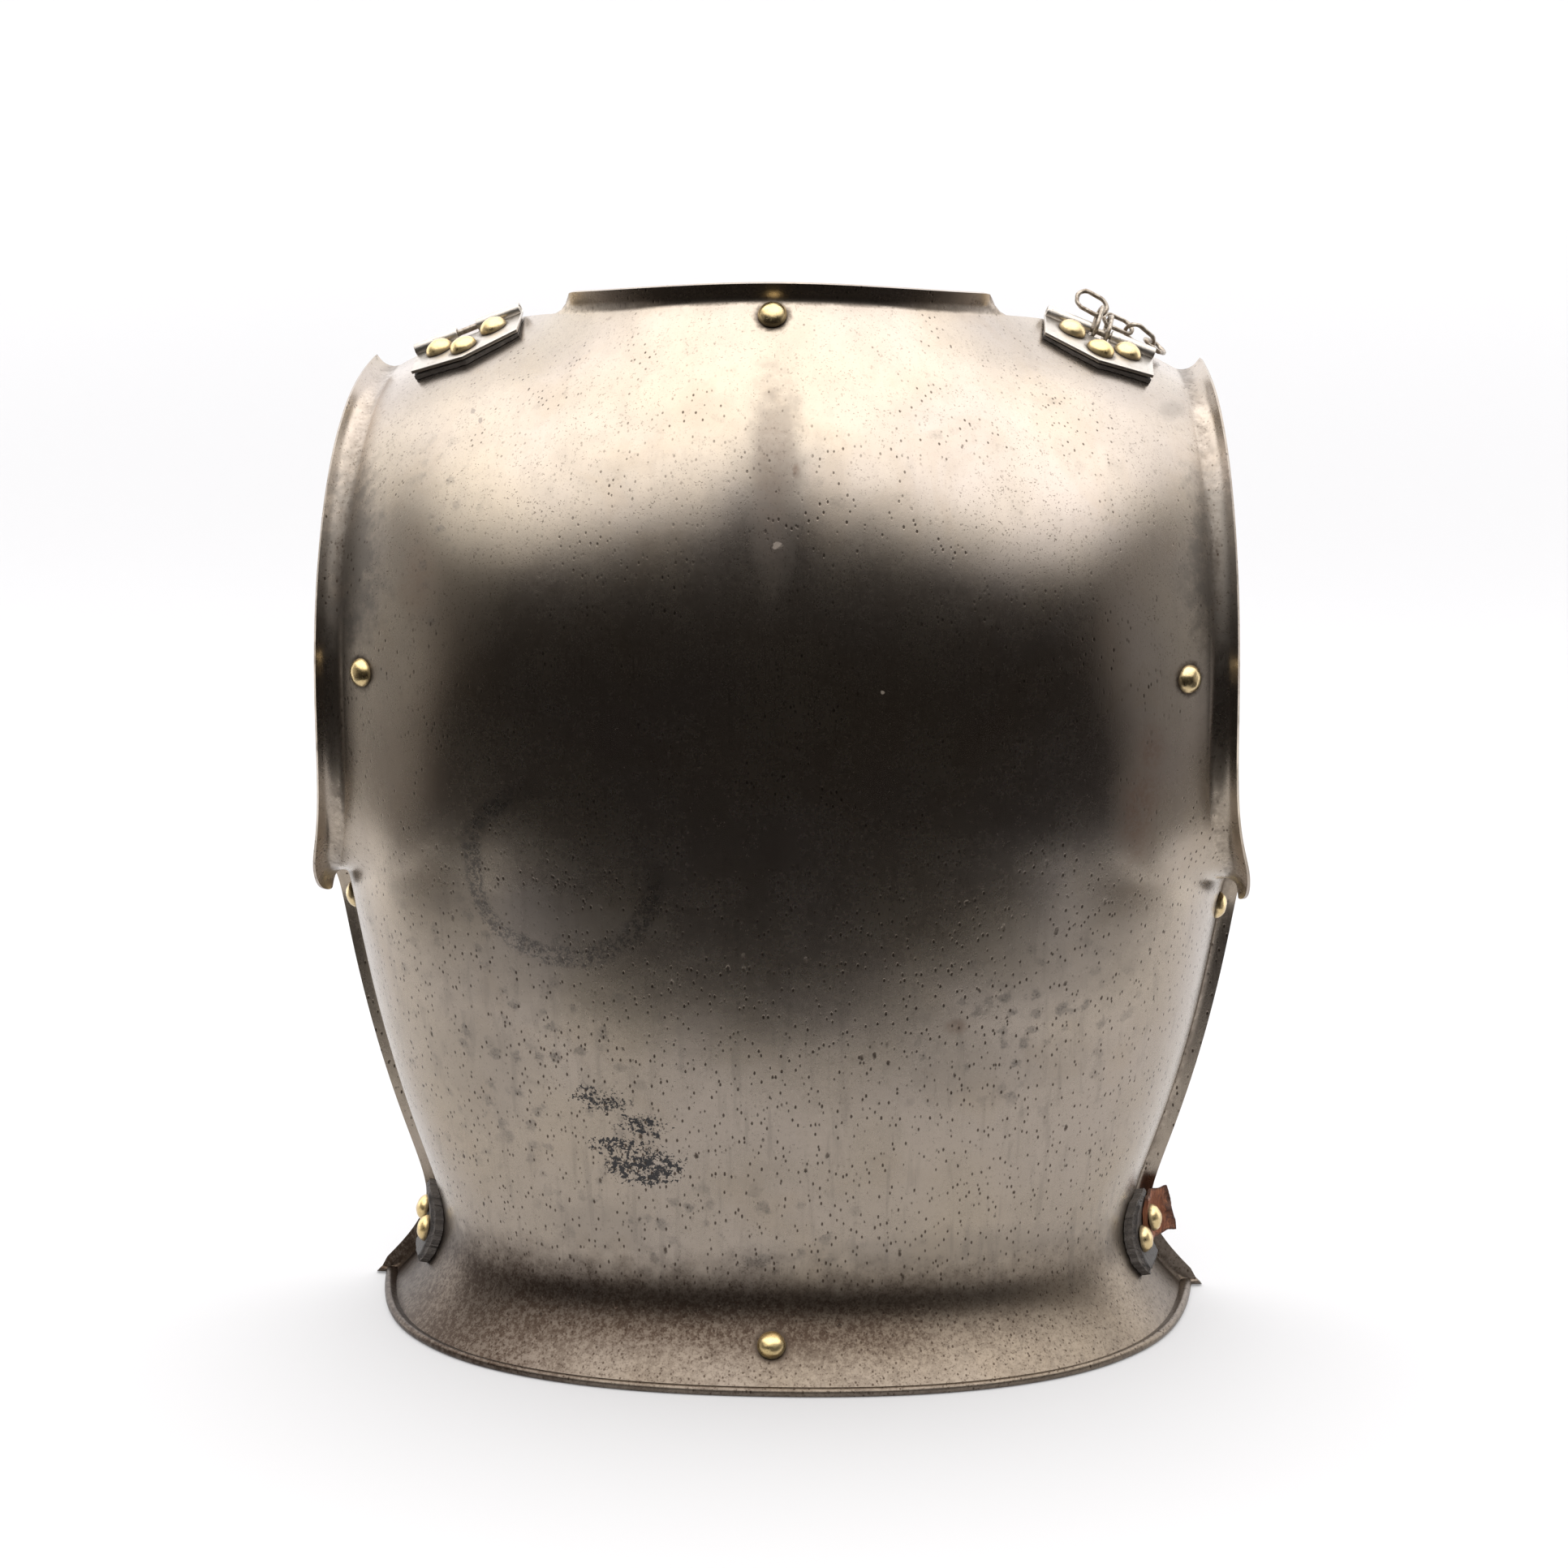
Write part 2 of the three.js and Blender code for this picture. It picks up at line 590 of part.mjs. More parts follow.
// Steel plate of a shoulder strap, with its hinge roll, pin and leather pad
function shoulderTab(side, word) {
  const frame = squared(frameAt(side * TAB_PLACE.across, TAB_PLACE.up));
  const back = (right) => lerp(TAB_POINT, TAB_BACK, Math.abs(right) / TAB_HALF_WIDTH);
  let highest = -Infinity;
  for (const right of [-1, -0.5, 0, 0.5, 1]) {
    for (const ahead of [-TAB_BACK, 0, TAB_FRONT]) {
      const base = placeIn(frame, right * TAB_HALF_WIDTH, ahead, 0);
      highest = Math.max(highest, heightAt(base, frame.normal));
    }
  }
  const padTop = highest + CLEARANCE + PAD_WALL;
  const tabBottom = padTop + CLEARANCE;
  const tabTop = tabBottom + TAB_WALL;

  const spread = TAB_HALF_WIDTH - TAB_RIVET_EDGE;
  const spots = [
    { name: 'neck_end', right: -side * spread, ahead: 0 },
    { name: 'arm_end', right: side * spread, ahead: 0 },
    { name: 'point', right: 0, ahead: TAB_RIVET_POINT - TAB_POINT },
  ];
  for (const spot of spots) {
    rivet(`tab_${word}_${spot.name}`, frame, placeIn(frame, spot.right, spot.ahead, 0), { top: tabTop });
  }

  const roll = { inner: PIN_RADIUS + CLEARANCE, outer: PIN_RADIUS + CLEARANCE + ROLL_WALL };
  const centre = tabBottom + roll.outer;
  const outline = new THREE.Shape([
    new THREE.Vector2(-TAB_HALF_WIDTH, TAB_FRONT),
    new THREE.Vector2(-TAB_HALF_WIDTH, -TAB_BACK),
    new THREE.Vector2(0, -TAB_POINT),
    new THREE.Vector2(TAB_HALF_WIDTH, -TAB_BACK),
    new THREE.Vector2(TAB_HALF_WIDTH, TAB_FRONT),
  ]);
  const sheet = new THREE.ExtrudeGeometry(outline, { depth: TAB_WALL, bevelEnabled: false });
  sheet.translate(0, 0, tabBottom);
  const barrel = (radius, length) => {
    const geometry = new THREE.CylinderGeometry(radius, radius, length, ROUND_SIDES);
    geometry.rotateZ(Math.PI / 2);
    geometry.translate(0, TAB_FRONT, centre);
    return geometry;
  };
  const slotBack = PIN_RADIUS + LINK_WIRE + 3 * CLEARANCE;
  const slot = new THREE.BoxGeometry(KNUCKLE_GAP, slotBack + 2 * roll.outer, 4 * roll.outer);
  slot.translate(0, TAB_FRONT + roll.outer - slotBack / 2, centre);
  const tab = solidOf(sheet)
    .add(solidOf(barrel(roll.outer, 2 * TAB_HALF_WIDTH)))
    .subtract(solidOf(barrel(roll.inner, 4 * TAB_HALF_WIDTH)))
    .subtract(solidOf(slot));
  const tabGeometry = geometryOf(tab);
  const lay = matrixOf(frame, frame.origin);
  tabGeometry.applyMatrix4(lay);
  add(`strap_plate_${word}`, pierced(tabGeometry), PALE_STEEL);
  const pin = barrel(PIN_RADIUS, 2 * TAB_HALF_WIDTH);
  pin.applyMatrix4(lay);
  add(`hinge_pin_${word}`, pin, IRON);

  const grown = TAB_HALF_WIDTH + PAD_MARGIN;
  const padOutline = (u, v) => {
    const right = u * grown;
    return [right, lerp(-back(right) - PAD_MARGIN, TAB_FRONT - slotBack, (v + 1) / 2)];
  };
  const pad = layer(frame, padOutline, PAD_STEPS, (height) => height + 1.5 * CLEARANCE, () => padTop);
  add(`strap_pad_${word}`, pierced(pad), BLACK_LEATHER);
  return { frame, pin: placeIn(frame, 0, TAB_FRONT, centre) };
}

shoulderTab(-1, 'left');
const rightTab = shoulderTab(1, 'right');

// Chain left on the right strap plate

function linkGeometry() {
  const radius = (LINK_WIDTH - LINK_WIRE) / 2;
  const half = (LINK_LENGTH - LINK_WIDTH) / 2;
  const oval = new THREE.CurvePath();
  class End extends THREE.Curve {
    constructor(side) {
      super();
      this.side = side;
    }
    getPoint(t, target = new THREE.Vector3()) {
      const angle = (t - 0.5) * Math.PI;
      return target.set(this.side * (half + radius * Math.cos(angle)), this.side * radius * Math.sin(angle), 0);
    }
  }
  const straight = (side) => new THREE.LineCurve3(
    new THREE.Vector3(side * half, side * radius, 0), new THREE.Vector3(-side * half, side * radius, 0));
  oval.add(new End(1));
  oval.add(straight(1));
  oval.add(new End(-1));
  oval.add(straight(-1));
  return new THREE.TubeGeometry(oval, LINK_STEPS, LINK_WIRE / 2, WIRE_SIDES, true);
}

function chain({ frame, pin }) {
  const inFrame = ([right, ahead, up]) => new THREE.Vector3()
    .addScaledVector(frame.right, right)
    .addScaledVector(frame.ahead, ahead)
    .addScaledVector(frame.normal, up)
    .normalize();
  const reach = (LINK_LENGTH - LINK_WIRE) / 2;
  const placed = {};
  for (const { name, on, at, way, face } of LINKS) {
    const direction = inFrame(way);
    const normal = inFrame(face);
    normal.addScaledVector(direction, -normal.dot(direction)).normalize();
    const centre = new THREE.Vector3();
    if (on === 'pin') {
      centre.copy(pin).addScaledVector(frame.right, at * KNUCKLE_GAP);
      centre.addScaledVector(direction, reach - PIN_RADIUS - LINK_WIRE / 2 - LINK_PLAY);
    } else {
      const before = placed[on];
      centre.copy(before.centre).addScaledVector(before.direction, reach);
      centre.addScaledVector(direction, reach - LINK_WIRE - LINK_PLAY);
    }
    placed[name] = { centre, direction };
    const geometry = linkGeometry();
    const turn = new THREE.Matrix4().makeBasis(direction, normal.clone().cross(direction), normal);
    geometry.applyMatrix4(turn.setPosition(centre));
    add(`chain_${name}`, geometry, IRON);
  }
}

chain(rightTab);

// Leather patches of the waist strap
function waistPatch(side, word) {
  const frame = frameAt(side * PATCH_PLACE.across, PATCH_PLACE.up);
  const corner = (u, v) => {
    const narrow = (1 - PATCH_NARROWING * v) * (1 - PATCH_ROUNDING * v ** 4);
    return [u * narrow * PATCH_WIDTH / 2, v * PATCH_HEIGHT / 2];
  };
  for (const { name, right, ahead } of PATCH_RIVETS) {
    const point = placeIn(frame, side * right * PATCH_RIVET_SPREAD, ahead * PATCH_HEIGHT, 0);
    const stub = word === 'right' && name === 'front' ? CLEARANCE + STUB_LEATHER : 0;
    rivet(`patch_${word}_${name}`, frame, point, { over: CLEARANCE + LEATHER + stub });
  }
  const patch = layer(frame, corner, PATCH_STEPS,
    (height) => height + CLEARANCE, (height) => height + CLEARANCE + LEATHER);
  add(`waist_patch_${word}`, pierced(patch), BLACK_LEATHER);
  return frame;
}

waistPatch(-1, 'left');
const rightPatch = waistPatch(1, 'right');

// Torn strap end, held by the front rivet of the right patch and curling out over the side lip
function strapStub(frame) {
  const start = HEAD_RADIUS - PATCH_RIVET_SPREAD / 2 + CLEARANCE;
  const seat = heightAt(placeIn(frame, start, 0, 0), frame.normal) + LEATHER + 2 * CLEARANCE;
  const middle = PATCH_RIVETS[1].ahead * PATCH_HEIGHT;
  const point = (u, v, lift) => {
    const ahead = middle + (v - 0.5) * STUB_HEIGHT;
    const right = start + u * STUB_REACH;
    const flat = placeIn(frame, Math.min(right, PATCH_RIVET_SPREAD), ahead, 0);
    const rest = heightAt(flat, frame.normal) + LEATHER + 2 * CLEARANCE;
    const curl = Math.max((u - STUB_FLAT) / (1 - STUB_FLAT), 0) ** STUB_BEND;
    return placeIn(frame, right, ahead, lerp(rest, seat, curl) + curl * STUB_CURL + lift);
  };
  const face = (lift) => Array.from({ length: STUB_ROWS + 1 }, (_, i) =>
    Array.from({ length: STUB_STEPS + 1 }, (_, j) => point(j / STUB_STEPS, i / STUB_ROWS, lift)));
  add('strap_stub', pierced(sheetBetween(face(STUB_LEATHER), face(0))), RED_LEATHER);
}

strapStub(rightPatch);

add('back_plate', pierced(skin.geometry), STEEL);

// The origin is the middle of the foot of the whole part
const middle = new THREE.Box3().setFromObject(cuirass).getCenter(new THREE.Vector3());
for (const { geometry } of cuirass.children) geometry.translate(-middle.x, -middle.y, 0);

export default cuirass;
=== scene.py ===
import math

import bmesh
import bpy
import numpy as np
from mathutils import Matrix, Vector, noise
from mathutils.bvhtree import BVHTree


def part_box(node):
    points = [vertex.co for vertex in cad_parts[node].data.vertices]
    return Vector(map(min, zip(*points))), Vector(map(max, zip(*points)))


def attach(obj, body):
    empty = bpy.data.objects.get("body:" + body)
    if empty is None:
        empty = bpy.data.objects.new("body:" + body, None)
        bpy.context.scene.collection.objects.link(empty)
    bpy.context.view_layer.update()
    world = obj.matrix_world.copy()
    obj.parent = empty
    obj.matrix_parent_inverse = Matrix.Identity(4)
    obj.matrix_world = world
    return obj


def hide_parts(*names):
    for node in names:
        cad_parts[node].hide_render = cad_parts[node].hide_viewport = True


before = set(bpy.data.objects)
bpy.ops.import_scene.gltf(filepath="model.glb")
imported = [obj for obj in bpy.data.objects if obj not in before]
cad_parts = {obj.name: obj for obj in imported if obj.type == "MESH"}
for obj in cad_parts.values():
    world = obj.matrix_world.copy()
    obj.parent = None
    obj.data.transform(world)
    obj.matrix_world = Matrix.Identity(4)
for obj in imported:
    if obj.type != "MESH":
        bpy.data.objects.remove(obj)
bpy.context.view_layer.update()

# Form of the back
# One sheet of steel, raised over a stake into shoulder blades and waist, with a shallow hollow
# down the spine. Every later piece is seated on this form, so its shape comes first.
MM = 0.001
PLATE_HEIGHT = 435
HALF_WIDTH = 192
BACK_DEPTH = 132
SHOULDER_REACH = 25
EDGE_ANGLE = 94
WALL = 1.4
WAIST_RISE = 44
FLARE_OUT = 24
GROOVE_DEPTH = 4.5
GROOVE_WIDTH = 17
SECTIONS = [  # rise, half width, depth and squareness, as shares of the whole
    (0.174, 0.840, 0.765, 2.40),
    (0.256, 0.896, 0.803, 2.40),
    (0.349, 0.943, 0.856, 2.45),
    (0.442, 0.974, 0.909, 2.50),
    (0.547, 0.995, 0.962, 2.55),
    (0.651, 1.000, 0.992, 2.60),
    (0.767, 1.000, 1.000, 2.60),
]
WAIST = (0.778, 0.742, 2.35)
FLARE = [(0.00, 1.00), (0.20, 0.64), (0.43, 0.30), (0.68, 0.07), (1.00, 0.00)]  # rise, reach
ROWS = [  # rise at the spine, rise at the edge, angle of the edge
    (0.174, 0.172, 1.000),
    (0.256, 0.249, 1.000),
    (0.344, 0.330, 1.000),
    (0.419, 0.395, 1.000),
    (0.477, 0.428, 0.990),
    (0.523, 0.437, 0.904),
    (0.570, 0.456, 0.819),
    (0.616, 0.500, 0.755),
    (0.663, 0.565, 0.723),
    (0.709, 0.640, 0.713),
]
TOP = [  # top edge from the spine outwards: back, reach, rise, bend, spread
    (0.560, 0.00, 1.000, 0.55, 0.98),
    (0.545, 0.00, 0.998, 0.56, 0.98),
    (0.470, 0.00, 0.992, 0.60, 0.98),
    (0.270, 0.00, 0.981, 0.70, 1.00),
    (0.000, 0.65, 0.966, 0.95, 1.00),
    (0.000, 1.00, 0.942, 1.00, 0.96),
    (0.000, 0.96, 0.917, 1.00, 0.93),
]
TURN = [15, 30, 45, 60, 75, 90]
GROOVE = (0.77, 0.35, 0.14)  # middle, and how far it runs below and above


def body_point(angle, rise):
    table = [(r * WAIST_RISE, WAIST[0] * HALF_WIDTH + out * FLARE_OUT,
              WAIST[1] * BACK_DEPTH + out * FLARE_OUT, WAIST[2]) for r, out in FLARE]
    table += [(r * PLATE_HEIGHT, half * HALF_WIDTH, depth * BACK_DEPTH, square)
              for r, half, depth, square in SECTIONS]
    rises, *columns = zip(*table)
    half, depth, square = (np.interp(rise, rises, column) for column in columns)
    across, back = math.sin(angle), math.cos(angle)
    radius = (abs(across / half) ** square + abs(back / depth) ** square) ** (-1 / square)
    return radius * across, -radius * back, rise


def control_net():
    sides = len(TOP) - 1
    shares = [k / sides - 1 for k in range(2 * sides + 1)]
    rows = [(rise * WAIST_RISE, rise * WAIST_RISE, 1) for rise, _ in FLARE]
    rows += [(spine * PLATE_HEIGHT, edge * PLATE_HEIGHT, angle) for spine, edge, angle in ROWS]
    net = [[body_point(math.radians(EDGE_ANGLE * angle) * share, spine + (edge - spine) * share ** 2)
            for share in shares] for spine, edge, angle in rows]
    base = net[-1]
    for degrees in TURN:
        row = []
        for k, (x, y, z) in enumerate(base):
            back, reach, rise, bend, spread = TOP[abs(k - sides)]
            whole, part = math.radians(90) * bend, math.radians(degrees) * bend
            up = math.sin(part) / math.sin(whole)
            over = (1 - math.cos(part)) / (1 - math.cos(whole))
            end = reach * SHOULDER_REACH - back * BACK_DEPTH
            row.append((x * (1 + (spread - 1) * over), y + (end - y) * over,
                        z + (rise * PLATE_HEIGHT - z) * up))
        net.append(row)
    return np.array(net)


def spline_weights(count, shares):
    spans = count - 3
    knots = np.clip(np.arange(count + 4) - 3, 0, spans) / spans
    at = np.minimum(np.asarray(shares, float), 1 - 1e-9)[:, None]
    weights = ((knots[:-1] <= at) & (at < knots[1:])).astype(float)
    for degree in (1, 2, 3):
        k = np.arange(weights.shape[1] - 1)
        rising = knots[k + degree] - knots[k]
        falling = knots[k + degree + 1] - knots[k + 1]
        left = (at - knots[k]) / np.where(rising > 0, rising, np.inf)
        right = (knots[k + degree + 1] - at) / np.where(falling > 0, falling, np.inf)
        weights = weights[:, :-1] * left + weights[:, 1:] * right
    return weights


NET = control_net()


def skin_points(acrosses, ups):
    rows = spline_weights(NET.shape[0], ups)
    columns = spline_weights(NET.shape[1], (np.asarray(acrosses, float) + 1) / 2)
    points = np.einsum("ir,rcx,jc->ijx", rows, NET, columns)
    middle, below, above = GROOVE
    away = points[..., 2] / PLATE_HEIGHT - middle
    fade = np.exp(-(away / np.where(away < 0, below, above)) ** 2)
    points[..., 1] += GROOVE_DEPTH * fade * np.exp(-(points[..., 0] / GROOVE_WIDTH) ** 2)
    return points


# Back plate
# The steel sheet itself: lips turned out down both sides and round the arm openings, a collar
# turned up round the neck, and the bottom edge rolled over a wire. Dents and wear from use.
BEAD_RADIUS = 2
BEAD_SEAT = 0.92
LIP_WIDTH = 9
LIP_RADIUS = 3.4
ARM_WIDTH = 12.5
ARM_RADIUS = 7
FLANGE_ANGLE = 80
COLLAR_WIDTH = 9.5
COLLAR_RADIUS = 4
COLLAR_ANGLE = 62
PLAIN_EDGE = 1
ARM_START = (0.46, 0.53)
NECK_END = (0.60, 0.66)
PLATE_ROWS = 190
PLATE_COLUMNS = 168
FLANGE_STEPS = 12
COLLAR_STEPS = 10
BEAD_STEPS = 7
WAVES = [(75, 0.50), (28, 0.10), (11, 0.02)]  # size and depth of the unevenness of hammered sheet
DENTS = [  # place across and up the back, radius and depth, in millimetres
    (-64, 418, 13, 0.5),
    (-112, 196, 26, 0.25),
    (64, 150, 30, 0.8),
    (108, 262, 22, 0.6),
    (-30, 262, 34, 0.7),
    (132, 92, 16, 1.3),
    (-20, 96, 24, 0.6),
]
EVEN_RIM = (4, 24)  # heights between which the unevenness sets in above the rim
EVEN_LIP = 0.4  # share of a turned edge by which it is nearly even
LIP_EVENNESS = 0.7
SMOOTH_ANGLE = 40


def unit(vectors):
    return vectors / np.maximum(np.linalg.norm(vectors, axis=-1, keepdims=True), 1e-12)


def grid_normals(grid):
    return unit(np.cross(np.gradient(grid, axis=1), np.gradient(grid, axis=0)))


def smoothstep(value, low, high):
    share = np.clip((value - low) / (high - low), 0, 1)
    return share * share * (3 - 2 * share)


def turned(base, outwards, normals, radius, angle, width, shares):
    rows = []
    for share in shares:
        run = share * width
        bend = np.minimum(run, radius * angle) / radius
        rest = np.maximum(run - radius * angle, 0)
        forward = radius * np.sin(bend) + rest * np.cos(bend)
        lift = radius * (1 - np.cos(bend)) + rest * np.sin(bend)
        rows.append(base + outwards * forward[:, None] + normals * lift[:, None])
    return rows


def skin_grid():
    ups = np.linspace(0, 1, PLATE_ROWS + 1)
    acrosses = np.linspace(-1, 1, PLATE_COLUMNS + 1)
    sheet = skin_points(acrosses, ups)
    bare = grid_normals(sheet)
    arm = smoothstep(ups, *ARM_START)
    radius = LIP_RADIUS + (ARM_RADIUS - LIP_RADIUS) * arm
    width = LIP_WIDTH + (ARM_WIDTH - LIP_WIDTH) * arm
    shares = np.arange(1, FLANGE_STEPS + 1) / FLANGE_STEPS
    flanges = []
    for side, column in ((-1, 0), (1, -1)):
        edge, normals = sheet[:, column], bare[:, column]
        outwards = unit(np.cross(unit(np.gradient(edge, axis=0)), normals) * side)
        flanges.append(turned(edge, outwards, normals, radius, math.radians(FLANGE_ANGLE), width, shares))
    left, right = np.stack(flanges[0][::-1], 1), np.stack(flanges[1], 1)
    grid = np.concatenate([left, sheet, right], 1)
    places = np.concatenate([-np.ones(FLANGE_STEPS), acrosses, np.ones(FLANGE_STEPS)])
    turn = np.concatenate([shares[::-1], np.zeros(PLATE_COLUMNS + 1), shares])
    top, edgeway = grid[-1], unit(np.gradient(grid[-1], axis=0))
    neck = 1 - smoothstep(np.abs(places), *NECK_END)
    outwards = top - grid[-2]
    outwards = unit(outwards - (outwards * edgeway).sum(1, keepdims=True) * edgeway)
    steps = np.arange(1, COLLAR_STEPS + 1) / COLLAR_STEPS
    widths = PLAIN_EDGE + (COLLAR_WIDTH - PLAIN_EDGE) * neck
    collar = turned(top, outwards, grid_normals(grid)[-1], COLLAR_RADIUS,
                    math.radians(COLLAR_ANGLE) * neck, widths, steps)
    grid = np.concatenate([grid, np.stack(collar)], 0)
    turns = np.tile(turn, (grid.shape[0], 1))
    turns[PLATE_ROWS + 1:] = np.maximum(turns[PLATE_ROWS + 1:], steps[:, None] * neck[None, :])
    return grid, turns


def hammered(grid, turns):
    normals = grid_normals(grid)
    lift = np.zeros(grid.shape[:2])
    for index in np.ndindex(*lift.shape):
        place = Vector(grid[index])
        lift[index] = sum(depth * noise.noise(place / size + Vector((0, 0, size))) for size, depth in WAVES)
    for x, z, radius, depth in DENTS:
        away = ((grid[..., 0] - x) ** 2 + (grid[..., 2] - z) ** 2) / radius ** 2
        lift -= depth * np.exp(-away) * (grid[..., 1] < 0)
    lift *= smoothstep(grid[..., 2], *EVEN_RIM) * (1 - LIP_EVENNESS * smoothstep(turns, 0, EVEN_LIP))
    return grid + normals * lift[..., None]


def plate_mesh():
    outer, turns = skin_grid()
    outer = hammered(outer, turns)
    normals = grid_normals(outer)
    inner = outer - normals * WALL
    rows, columns = outer.shape[:2]
    half = math.asin(WALL / 2 / BEAD_RADIUS)
    seat = math.sqrt(BEAD_RADIUS ** 2 - (WALL / 2) ** 2)
    flat = math.acos(BEAD_SEAT)
    loops = []
    for j in range(columns):
        normal, down = normals[0, j], unit(outer[0, j] - outer[1, j])
        centre = (outer[0, j] + inner[0, j]) / 2 + down * seat
        rise = BEAD_SEAT * BEAD_RADIUS - centre[2]
        outer[0, j, 2] += rise
        inner[0, j, 2] += rise
        centre[2] += rise
        lowest = math.pi + math.atan2(normal[2], -down[2])
        before = np.linspace(2 * math.pi - half, lowest + flat, BEAD_STEPS + 1)[1:]
        after = np.linspace(lowest - flat, half, BEAD_STEPS + 1)[:-1]
        angles = np.concatenate([before, after])[:, None]
        bead = centre - BEAD_RADIUS * np.cos(angles) * down + BEAD_RADIUS * np.sin(angles) * normal
        bead[:, 2] = np.maximum(bead[:, 2], 0)
        loops.append(np.concatenate([outer[:, j], inner[::-1, j], bead]))
    points = np.array(loops)
    count = points.shape[1]
    ids = np.arange(columns * count).reshape(columns, count)
    following = np.roll(ids, -1, axis=1)
    quads = np.stack([ids[:-1], ids[1:], following[1:], following[:-1]], -1).reshape(-1, 4)
    faces = quads.tolist()
    for start, flip in ((0, False), ((columns - 1) * count, True)):
        cap = [[start + i, start + i + 1, start + 2 * rows - 2 - i, start + 2 * rows - 1 - i]
               for i in range(rows - 1)]
        cap.append([start] + [start + k for k in range(2 * rows - 1, count)])
        faces += [face[::-1] for face in cap] if flip else cap
    inside = np.zeros((columns, count))
    inside[:, rows:2 * rows] = 1
    turn = np.zeros((columns, count))
    turn[:, :rows] = turns.T
    turn[:, rows:2 * rows] = turns.T[:, ::-1]
    return points.reshape(-1, 3), faces, inside.ravel(), turn.ravel()


def solid_object(name, points, faces, **shares):
    """A mesh object at the origin from points in millimetres, with the values of each named share."""
    mesh = bpy.data.meshes.new(name)
    mesh.from_pydata((np.asarray(points) * MM).tolist(), [], faces)
    mesh.update()
    for key, values in shares.items():
        mesh.attributes.new(key, "FLOAT", "POINT").data.foreach_set("value", np.asarray(values, np.float32))
    mesh.shade_smooth()
    mesh.set_sharp_from_angle(angle=math.radians(SMOOTH_ANGLE))
    piece = bpy.data.objects.new(name, mesh)
    bpy.context.scene.collection.objects.link(piece)
    return piece


points, faces, inside, turn = plate_mesh()
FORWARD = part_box("back_plate")[0].y / MM - points[:, 1].min()  # origin's place ahead of the side edges
points[:, 1] += FORWARD
back_plate = solid_object("back_plate_skin", points, faces, inside=inside, turn=turn)
plate_tree = BVHTree.FromObject(back_plate, bpy.context.evaluated_depsgraph_get())


class Wire:
    """One output of a node. An expression on wires adds the nodes that work it out."""

    def __init__(self, nodes, socket):
        self.nodes, self.socket = nodes, socket

    def maths(self, operation, first, second):
        return self.nodes.make("ShaderNodeMath", {0: first, 1: second}, operation=operation)

    def __add__(self, other):
        return self.maths("ADD", self, other)

    def __sub__(self, other):
        return self.maths("SUBTRACT", self, other)

    def __rsub__(self, other):
        return self.maths("SUBTRACT", other, self)

    def __mul__(self, other):
        return self.maths("MULTIPLY", self, other)

    __radd__, __rmul__ = __add__, __mul__

    def most(self, other):
        return self.maths("MAXIMUM", self, other)

    def least(self, other):
        return self.maths("MINIMUM", self, other)

    def span(self, low, high):
        """0 up to low, 1 from high on, and a smooth step between."""
        return self.nodes.make("ShaderNodeMapRange", {"Value": self, "From Min": low, "From Max": high},
                               interpolation_type="SMOOTHSTEP")


class Nodes:
    """The node tree of one material, world or piece."""

    def __init__(self, tree):
        self.tree = tree

    def make(self, kind, values=None, output=0, **settings):
        """A new node with its settings and inputs, and the wire from one of its outputs."""
        node = self.tree.nodes.new(kind)
        for key, value in settings.items():
            setattr(node, key, value)
        for key, value in (values or {}).items():
            if isinstance(value, Wire):
                self.tree.links.new(value.socket, node.inputs[key])
            else:
                node.inputs[key].default_value = value
        return Wire(self, node.outputs[output])

    def end(self, kind, wire):
        """The last node of the tree, which takes one wire."""
        self.tree.links.new(wire.socket, self.tree.nodes.new(kind).inputs[0])

    def vector(self, operation, first, second=None, output=0, **values):
        others = values if second is None else {1: second, **values}
        return self.make("ShaderNodeVectorMath", {0: first, **others}, output, operation=operation)

    def parts(self, vector):
        node = self.make("ShaderNodeSeparateXYZ", {0: vector}).socket.node
        return [Wire(self, socket) for socket in node.outputs]

    def mix(self, share, first, second):
        tones = [(*tone, 1) if isinstance(tone, tuple) else tone for tone in (first, second)]
        return self.make("ShaderNodeMix", {0: share, 6: tones[0], 7: tones[1]}, 2, data_type="RGBA")


